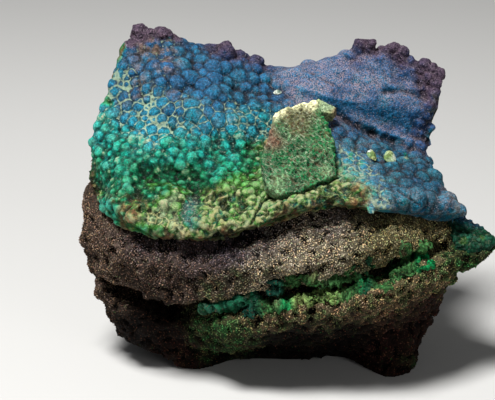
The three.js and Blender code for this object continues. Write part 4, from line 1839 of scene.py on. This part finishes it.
class CrustPaint:
    """Paints the crust's colour, layer over layer.

    Attributes:
        finish: The finish, which holds its colours and sizes.
        sheet: The material's sheet.
        of: The piece's own attributes.
        fine: The fine mottle.
        broad: The broad mottle.
        tone: How light each tiny crystal is.
        speck: Which tiny crystals glint.
        height: Height of the fine relief.
        crease: How far a place lies in a crease, with an uneven border.
        colour: The colour painted so far.
    """

    def __init__(self, finish: CrustFinish, sheet: Sheet) -> None:
        """Reads the piece's attributes and places the shared patterns.

        Args:
            finish: The finish.
            sheet: The material's sheet.
        """
        self.finish = finish
        self.sheet = sheet
        habit = ("hue", "pale", "frost_sheen", "stain", "violet", "broken", "shade")
        grown = ("tint", "crease", "furrow", "upward", "ridge")
        self.of = {name: sheet.value(name) for name in habit + grown}
        sparkle, mottle, self.height = finish.patterns(sheet)
        self.tone, self.speck = sparkle["Tone"], sparkle["Speck"]
        self.fine, self.broad = mottle["Fine"], mottle["Broad"]
        uneven = sheet.math("SUBTRACT", self.fine, 0.5)
        self.crease = sheet.math("MULTIPLY_ADD", uneven, 0.35, self.of["crease"])
        self.colour = self.series()

    def series(self) -> Socket:
        """Picks the series' own colour, which drifts, differs from ball to ball and breaks into facets; in
        the hollows of broken faces it turns a darker hue as painted shade.

        Returns:
            The colour.
        """
        sheet, of = self.sheet, self.of
        drift = sheet.math("MULTIPLY_ADD", self.broad, 0.08, sheet.math("SUBTRACT", of["hue"], 0.04))
        facets = sheet.product(of["broken"], sheet.spread(sheet.noise(1.9, 4.0), 0.4, 0.6, -0.2, 0.08))
        # Painted shade: a darker hue in the hollows of broken faces.
        sunk = sheet.product(sheet.spread(of["ridge"], 0.25, 0.55, -0.16, 0.0), of["broken"])
        own = sheet.math("MULTIPLY_ADD", of["tint"], 0.035, drift)
        return sheet.ramp(sheet.math("ADD", own, sheet.math("ADD", facets, sunk)), CRUST_SERIES)

    def brightness(self) -> Socket:
        """Works out how bright the crust is, from its grains, ridges, creases and habit: painted highlight on
        the ridges, painted shade in the hollows and creases.

        Returns:
            A factor on its colour.
        """
        sheet, of = self.sheet, self.of
        crease_shade = sheet.product(self.crease, sheet.math("SUBTRACT", 1.0, of["pale"]))
        return sheet.product(
            sheet.spread(self.fine, 0.0, 1.0, 0.62, 1.38),
            sheet.spread(self.tone, 0.0, 1.0, 0.5, 1.5),
            # Painted highlight on the ridges and painted shade in the hollows; below, painted shade in the
            # creases.
            sheet.spread(of["ridge"], 0.15, 0.8, 0.2, 1.55),
            sheet.spread(crease_shade, 0.1, 0.9, 1.1, 0.55),
            of["shade"],
        )

    def top(self) -> None:
        """Paints a pale highlight on the tops of the green balls, and lays dust on the tops of a few of them.
        """
        sheet, finish, of = self.sheet, self.finish, self.of
        # Painted highlight: paler colour on the tops of the teal and green balls.
        tops = sheet.product(sheet.spread(of["ridge"], 0.55, 0.95), sheet.spread(of["hue"], 0.5, 0.66), 0.4)
        top_highlight = sheet.mix(sheet.spread(of["hue"], 0.8, 0.95), finish.top_highlight, finish.warm_chalk)
        highlighted = sheet.mix(sheet.product(tops, of["shade"]), self.colour, top_highlight)
        picked = sheet.product(sheet.spread(of["tint"], 0.62, 0.72), sheet.spread(of["hue"], 0.4, 0.5))
        high = sheet.product(sheet.spread(of["ridge"], 0.5, 0.8), sheet.spread(self.fine, 0.3, 0.7))
        dust = sheet.scaled(finish.cap, of["shade"])
        self.colour = sheet.mix(sheet.product(picked, high, 0.75), highlighted, dust)

    def chalk(self) -> None:
        """Fills the creases with chalk and whitens the edges of broken faces."""
        sheet, finish, of = self.sheet, self.finish, self.of
        lined = sheet.product(of["pale"], sheet.spread(sheet.noise(3.2, 3.0), 0.36, 0.62, 0.72, 1.0))
        reach = sheet.math("MULTIPLY_ADD", lined, 0.95, sheet.math("SUBTRACT", self.crease, 1.08))
        web = sheet.math("MULTIPLY", reach, 4.0, clamp=True)
        veins = sheet.group(finish.groups.veins, Size=finish.mesh, Width=0.035)["Line"]
        tips = sheet.math("MAXIMUM", sheet.product(veins, 0.5), sheet.spread(of["ridge"], 0.6, 0.85))
        edges = sheet.product(of["broken"], tips, 0.65)
        chalk = sheet.mix(sheet.spread(of["hue"], 0.6, 0.85), finish.cool_chalk, finish.warm_chalk)
        dusty = sheet.scaled(chalk, sheet.product(of["shade"], sheet.spread(self.fine, 0, 1, 0.7, 1.2)))
        self.colour = sheet.mix(sheet.math("MAXIMUM", sheet.product(web, 0.85), edges), self.colour, dusty)

    def dust(self) -> None:
        """Lays fine rosy frost and painted sheen in banks on what faces up."""
        sheet, of = self.sheet, self.of
        banks = sheet.spread(sheet.noise(4.0, 3.0), 0.38, 0.62, 0.5, 1.0)
        grains = sheet.spread(sheet.noise(self.finish.grain, 2.0), 0.42, 0.6)
        # Painted sheen: rosy frost that is lighter where a face turns up to the light.
        share = sheet.product(of["frost_sheen"], of["upward"], banks, grains, 0.75)
        self.colour = sheet.mix(share, self.colour, self.finish.frost_sheen)

    def finished(self) -> Socket:
        """Paints every layer: painted highlight on tops, chalk, frost with painted sheen, crest crystals,
        stain, painted shade in the furrows and painted glints.

        Returns:
            The finished colour.
        """
        sheet, finish, of = self.sheet, self.finish, self.of
        bright = self.brightness()
        self.colour = sheet.scaled(self.colour, bright)
        self.top()
        self.chalk()
        self.dust()
        crystal = sheet.mix(self.tone, finish.crystal_dark, finish.crystal_light)
        crested = sheet.mix(sheet.product(of["violet"], 0.88), self.colour, crystal)
        stain = sheet.product(of["stain"], sheet.spread(sheet.noise(1.6, 4.0), 0.45, 0.6), 0.85)
        stained = sheet.mix(stain, crested, sheet.scaled(finish.rust, bright))
        # Painted shade in the furrows.
        furrowed = sheet.scaled(stained, sheet.spread(of["furrow"], 0.0, 1.0, 1.0, 0.35))
        # Painted glints: painted highlights on a few tiny crystals, brighter where the frost and sheen lie.
        shine = sheet.product(self.speck, sheet.spread(of["frost_sheen"], 0.0, 0.3, 0.08, 0.26))
        return sheet.mix(shine, furrowed, finish.glint)


# How the fibres of the broken slab run: drawn out four times, down to the right.
FIBRE_RUN: tuple[Triple, Triple] = ((4.0, 1.0, 1.0), (0.0, 0.75, 0.0))

# Casts that loose grains of stone take on: rosy, straw, plain, grey-violet and green.
GRAIN_CASTS: Series = (
    (0.0, (1.35, 0.85, 0.8, 1.0)),
    (0.25, (1.15, 1.05, 0.6, 1.0)),
    (0.5, (1.0, 1.0, 1.0, 1.0)),
    (0.75, (0.7, 0.68, 0.95, 1.0)),
    (1.0, (0.6, 1.0, 0.6, 1.0)),
)


@dataclass(frozen=True)
class StonyFinish(Finish):
    """Grained stone or broken mineral, coloured by its tone.

    Attributes:
        depth: Darkest and lightest factor from its hollows to its ridges: painted shade in the hollows and
            painted light on the ridges.
        picked: Darkest and lightest factor from one loose grain to the next.
        varied: How far the colour differs from grain to grain.
        net: How strongly pale crystal edges show.
        edge: Colour of the pale crystal edges.
        moss: Colour of the green blots.
        speck: Colour of the scattered specks and of the rosy fibres.
    """

    depth: tuple[float, float] = (0.3, 1.3)
    picked: tuple[float, float] = (1.0, 1.0)
    varied: float = 0.0
    net: float = 0.0
    edge: Colour = srgb(214, 222, 188)
    moss: Colour = srgb(52, 128, 66)
    speck: Colour = srgb(112, 72, 54)

    def mossed(self, sheet: Sheet, ground: Socket, shade: Socket) -> Socket:
        """Lays green blots and stains on stone.

        Args:
            sheet: The material's sheet.
            ground: The colour under them.
            shade: How bright the surface is.

        Returns:
            The colour with its green.
        """
        blots = sheet.spread(sheet.noise(1.1, 3.0), 0.66, 0.74)
        stains = sheet.product(sheet.value("moss"), sheet.spread(sheet.noise(1.5, 4.0), 0.45, 0.6))
        green = sheet.math("ADD", stains, sheet.product(blots, 0.5), clamp=True)
        return sheet.mix(green, ground, sheet.scaled(self.moss, shade))

    def fibrous(self, sheet: Sheet, ground: Socket) -> tuple[Socket, Socket]:
        """Lays rosy streaks, pale crystal edges and pale fibres on a broken face.

        Args:
            sheet: The material's sheet.
            ground: The colour under them.

        Returns:
            The colour with its fibres, and how far each place is a pale line.
        """
        veins = sheet.group(self.groups.veins, Size=self.mesh, Width=0.05)["Line"]
        fibres = sheet.spread(sheet.noise(0.42, 1.0, FIBRE_RUN), 0.6, 0.66)
        rosy = sheet.spread(sheet.noise(0.8, 2.0, FIBRE_RUN), 0.58, 0.64)
        lines = sheet.math("MAXIMUM", sheet.product(veins, self.net), sheet.product(fibres, 0.6))
        streaked = sheet.mix(sheet.product(rosy, 0.35), ground, self.speck)
        return sheet.mix(lines, streaked, sheet.mix(0.45, self.edge, sheet.colour("tone"))), lines

    def lay_out(self, sheet: Sheet) -> tuple[Socket, Socket, Socket]:
        """Lays painted shade and light by hollows and ridges, grains, moss or fibres, specks and pits over
        the tone.

        Args:
            sheet: The material's sheet.

        Returns:
            The sockets for Base Color, Roughness and Height.
        """
        sparkle, mottle, height = self.patterns(sheet)
        shade = sheet.product(
            # Painted shade in the hollows and painted light on the ridges.
            sheet.spread(sheet.value("ridge"), 0.15, 0.8, *self.depth),
            sheet.spread(sheet.value("pick"), 0.0, 1.0, *self.picked),
            sheet.spread(sparkle["Tone"], 0.0, 1.0, 0.5, 1.5),
            sheet.spread(mottle["Fine"], 0.0, 1.0, 0.6, 1.4),
        )
        cast = sheet.ramp(sheet.math("FRACT", sheet.product(sheet.value("pick"), 7.3)), GRAIN_CASTS)
        ground = sheet.mix(self.varied, sheet.scaled(sheet.colour("tone"), shade), cast, "MULTIPLY")
        if self.net:
            ground, lines = self.fibrous(sheet, ground)
            height = sheet.math("MULTIPLY_ADD", lines, 0.8, height)
        else:
            ground = self.mossed(sheet, ground, shade)
        specked = sheet.mix(sheet.product(sparkle["Speck"], 0.8), ground, self.speck)
        # Painted shade in the dark pits.
        finished = sheet.scaled(specked, sheet.spread(mottle["Pit"], 0.0, 1.0, 1.0, 0.4))
        return finished, sheet.spread(sparkle["Tone"], 0.0, 1.0, 0.7, 0.98), height


# ---- the studio and the specimen
@dataclass(frozen=True)
class Lamp:
    """A square soft light that faces the specimen.

    Attributes:
        name: The lamp's name.
        place: Where it hangs, in metres.
        size: Length of its side, in metres.
        watts: Its power.
    """

    name: str
    place: Triple
    size: float
    watts: float


@dataclass(frozen=True)
class Studio:
    """Plain pale floor, soft light from above and the camera.

    Attributes:
        floor_size: Half the length of the floor's side, in metres.
        floor_colour: Colour of the floor.
        floor_roughness: Its roughness.
        sky: Colour of the light from all around.
        sky_strength: Its strength.
        near_clip: Nearest distance that the camera sees, in metres.
        lamps: The lamps.
    """

    floor_size: float = 3.0
    floor_colour: Colour = srgb(196, 195, 192)
    floor_roughness: float = 0.9
    sky: Colour = (0.92, 0.95, 1.0, 1.0)
    sky_strength: float = 0.09
    near_clip: float = 0.01
    lamps: tuple[Lamp, ...] = (
        Lamp("key", (-0.16, -0.2, 0.62), 0.18, 7.4),
        Lamp("fill", (0.5, -0.7, 0.35), 0.4, 1.1),
    )

    def camera(self) -> None:
        """Sets up the camera in front of the specimen, a little above it."""
        data = bpy.data.cameras.new("camera")
        data.lens = VIEW.lens
        data.sensor_width = VIEW.sensor
        data.clip_start = self.near_clip
        camera = holder(data)
        camera.location = VIEW.eye * MM
        camera.rotation_euler = VIEW.back.to_track_quat("Z", "Y").to_euler()
        bpy.context.scene.camera = camera

    def light(self, lamp: Lamp) -> None:
        """Hangs one lamp and aims it at the specimen's middle.

        Args:
            lamp: The lamp.
        """
        data = bpy.data.lights.new(lamp.name, "AREA")
        data.size = lamp.size
        data.energy = lamp.watts
        thing = holder(data)
        thing.location = lamp.place
        aim = thing.location - Vector(VIEW.middle) * MM
        thing.rotation_euler = aim.to_track_quat("Z", "Y").to_euler()

    def floor(self) -> None:
        """Lays a wide pale floor at the specimen's base."""
        shape = bmesh.new()
        bmesh.ops.create_grid(shape, x_segments=1, y_segments=1, size=self.floor_size)
        mesh = shaped(shape, "floor")
        made = bpy.data.materials.new("pale_floor")
        made.use_nodes = True
        shader = made.node_tree.nodes["Principled BSDF"]
        shader.inputs["Base Color"].default_value = self.floor_colour
        shader.inputs["Roughness"].default_value = self.floor_roughness
        mesh.materials.append(made)
        holder(mesh)

    def surround(self) -> None:
        """Lights the scene evenly from all around."""
        world = bpy.data.worlds.new("studio")
        world.use_nodes = True
        background = world.node_tree.nodes["Background"]
        background.inputs["Color"].default_value = self.sky
        background.inputs["Strength"].default_value = self.sky_strength
        bpy.context.scene.world = world

    def build(self) -> None:
        """Sets up the whole studio."""
        bpy.context.scene.view_settings.view_transform = "Standard"
        self.surround()
        self.camera()
        self.floor()
        for lamp in self.lamps:
            self.light(lamp)


GRAIN_SPLIT = 20.0  # height at which the front's grains are parted into two pieces
REAR_GRAINS = 0.5  # share of the usual grains that lies on the stone's rear
LINING_GRAINS = 0.5  # share of the usual grains that lies on the fissure's linings
WANDER = 0.5  # how far the edges between tones wander on a piece
CHIP_WANDER = 0.1  # how far they wander on a small chip
CHIP_VOXEL = 0.15  # a piece whose faces are smaller than this is a small chip

# Reliefs of the weathered stone, of broken malachite, of flat rinds and of the ruffled skins in the fissure.
WEATHERED = (
    Relief(Pattern.RIDGED, 7.0, 0.5),
    Relief(Pattern.ROLLING, 2.4, 0.5),
    Relief(Pattern.PITTED, 1.8, 0.8, offset=9),
    Relief(Pattern.COBBLED, 1.0, 0.16),
)
FRACTURE = (
    Relief(Pattern.ROLLING, 3.5, 0.3, offset=3),
    Relief(Pattern.RIDGED, 1.8, 0.32, offset=8),
    Relief(Pattern.RIDGED, 0.8, 0.18, offset=5),
)
FLAT = (
    Relief(Pattern.ROLLING, 2.0, 0.1, offset=3),
    Relief(Pattern.RIDGED, 0.7, 0.06, offset=5),
)
RUFFLES = (
    Relief(Pattern.ROLLING, 3.0, 0.7, offset=2),
    Relief(Pattern.RIDGED, 1.6, 0.7, offset=4),
    Relief(Pattern.RIDGED, 0.8, 0.32, offset=9),
    Relief(Pattern.PITTED, 1.6, 1.0, offset=6),
)

# Which way and how far the fissure's skins draw back in patches.
STILL = (0, 0, 0)
DOWN = (0, 0.8, -1.3)
INWARD = (0, 2.2, 1.0)


@dataclass(frozen=True)
class Specimen:
    """The whole cluster: stone, crust, slab, linings and chips.

    Attributes:
        groups: The shader groups of its finishes.
        growers: The growers of its balls and grains.
    """

    groups: Groups
    growers: Growers

    def show(self, mesh: Mesh, name: str, node: str, finish: Finish) -> None:
        """Puts a finished mesh in place of its CAD node.

        Args:
            mesh: The mesh.
            name: The new piece's name.
            node: The CAD node that it stands for.
            finish: Its finish.
        """
        mesh.materials.clear()
        mesh.materials.append(bpy.data.materials.get(finish.name) or finish.material())
        mesh.shade_smooth()
        mesh.name = name
        piece = holder(mesh)
        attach(piece, "root")
        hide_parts(node)
        LOG.info("%s stands for %s", name, node)

    def strew(self, skin: Mesh, name: str, node: str, share: Array) -> None:
        """Strews loose grains over a skin, as a piece of their own.

        Args:
            skin: The mesh that they lie on, with its tone and rice attributes.
            name: The new piece's name.
            node: The CAD node that it belongs to.
            share: For each of the skin's vertices, the share of the usual grains.
        """
        ground = skin.copy()
        rice = np.empty(len(ground.vertices))
        ground.attributes["rice"].data.foreach_get("value", rice)
        ground.attributes["rice"].data.foreach_set("value", rice * share)
        grains = with_nodes(ground, self.growers.grains)
        LOG.info("%s: %d triangles", name, triangles(grains))
        grain = StonyFinish("loose_grain", self.groups, depth=(1.0, 1.0), picked=(0.35, 1.25), varied=0.55)
        self.show(grains, name, node, grain)

    def crusts(self) -> None:
        """Grows the main crust, the crust on the tip and the balls in the vug."""
        velvet = CrustFinish("cornetite_velvet", self.groups)
        crust = BotryoidalPiece(
            "cornetite_crust",
            FieldMap(CRUST_SPOTS),
            mounds=CRUST_MOUNDS,
            grooves=CRUST_GROOVES,
            depth=0.85,
        )
        tip = BotryoidalPiece(
            "tip_crust",
            FieldMap(TIP_SPOTS, wander=0.6),
            voxel=0.16,
            bed_voxel=0.4,
            bed_drop=0.4,
            seed=11,
            keep=0.8,
            depth=0.7,
            scale=0.55,
        )
        vug = BotryoidalPiece(
            "vug_botryoids",
            FieldMap(VUG_SPOTS, wander=0.6),
            voxel=0.16,
            bed_voxel=0.4,
            bed_drop=1.1,
            seed=13,
            keep=0.8,
            depth=0.7,
            scale=0.7,
            pits=3.2,
        )
        for piece, name, slot in (
            (crust, "velvet_crust", "cornetite"),
            (tip, "beaded_tip", "cornetite"),
            (vug, "vug_beads", "malachite"),
        ):
            self.show(piece.build(self.growers), name, piece.node, velvet)

    def stone(self) -> None:
        """Shapes the sandstone and strews the grains that stand out of its face."""
        stone = RoughPiece(
            "sandstone_matrix",
            FieldMap(STONE_SPOTS, wander=2.5),
            WEATHERED,
            voxel=0.42,
            keep=0.58,
            covers=("cornetite_crust",),
        )
        skin = stone.build()
        # The skin between the loose grains is near black: dark stone and painted shade in the gaps between
        # grains.
        finish = StonyFinish("sandstone_skin", self.groups, grain=0.3, depth=(0.02, 0.2), bump_depth=0.3)
        self.show(skin, "sandstone", stone.node, finish)
        places = coordinates(skin)
        front, high = places[:, 1] < 0, places[:, 2] >= GRAIN_SPLIT
        for name, share in (
            ("upper_grains", front & high),
            ("lower_grains", front & ~high),
            ("rear_grains", REAR_GRAINS * ~front),
        ):
            self.strew(skin, name, stone.node, share)

    def malachite(self) -> None:
        """Breaks the slab and the pale flake, and adds the skins in the fissure and the chips."""
        shared = self.groups
        broken = StonyFinish(
            "malachite_fracture", shared, grain=0.26, depth=(0.08, 1.5), net=0.3, specks=0.18
        )
        rind = StonyFinish("chalky_rind", shared, grain=0.26, depth=(0.6, 1.2), specks=0.04)
        ruffle = StonyFinish("malachite_ruffle", shared, grain=0.3, depth=(0.08, 1.45), specks=0.12)
        for node, name, spots, reliefs, voxel, slot, finish, retreat in (
            ("malachite_slab", "broken_slab", SLAB_SPOTS, FRACTURE, 0.2, "malachite", broken, STILL),
            ("pale_flake", "straw_flake", FLAKE_SPOTS, FLAT, 0.16, "pale_rind", rind, STILL),
            ("fissure_floor_lining", "floor_ruffles", FLOOR_SPOTS, RUFFLES, 0.22, "malachite", ruffle, DOWN),
            ("fissure_roof_lining", "roof_ruffles", ROOF_SPOTS, RUFFLES, 0.22, "malachite", ruffle, INWARD),
            ("white_chip", "ring_chip", WHITE_CHIP_SPOTS, FLAT, 0.08, "pale_rind", rind, STILL),
            ("pale_chip_left", "left_chip", LEFT_CHIP_SPOTS, FLAT, 0.1, "pale_rind", rind, STILL),
            ("pale_chip_right", "right_chip", RIGHT_CHIP_SPOTS, FLAT, 0.1, "pale_rind", rind, STILL),
        ):
            tones = FieldMap(spots, CHIP_WANDER if voxel < CHIP_VOXEL else WANDER)
            skin = RoughPiece(node, tones, reliefs, voxel=voxel, retreat=retreat).build()
            if finish is ruffle:
                self.strew(skin, f"{name}_grains", node, np.full(len(skin.vertices), LINING_GRAINS))
            self.show(skin, name, node, finish)

    def build(self) -> None:
        """Builds every piece."""
        self.crusts()
        self.stone()
        self.malachite()


def main() -> None:
    """Builds the studio and the specimen."""
    logging.basicConfig(level=logging.INFO, format="%(message)s")
    noise.seed_set(WANDER_SEED)
    Studio().build()
    Specimen(Groups(), Growers()).build()
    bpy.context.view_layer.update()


if __name__ == "__main__":
    main()
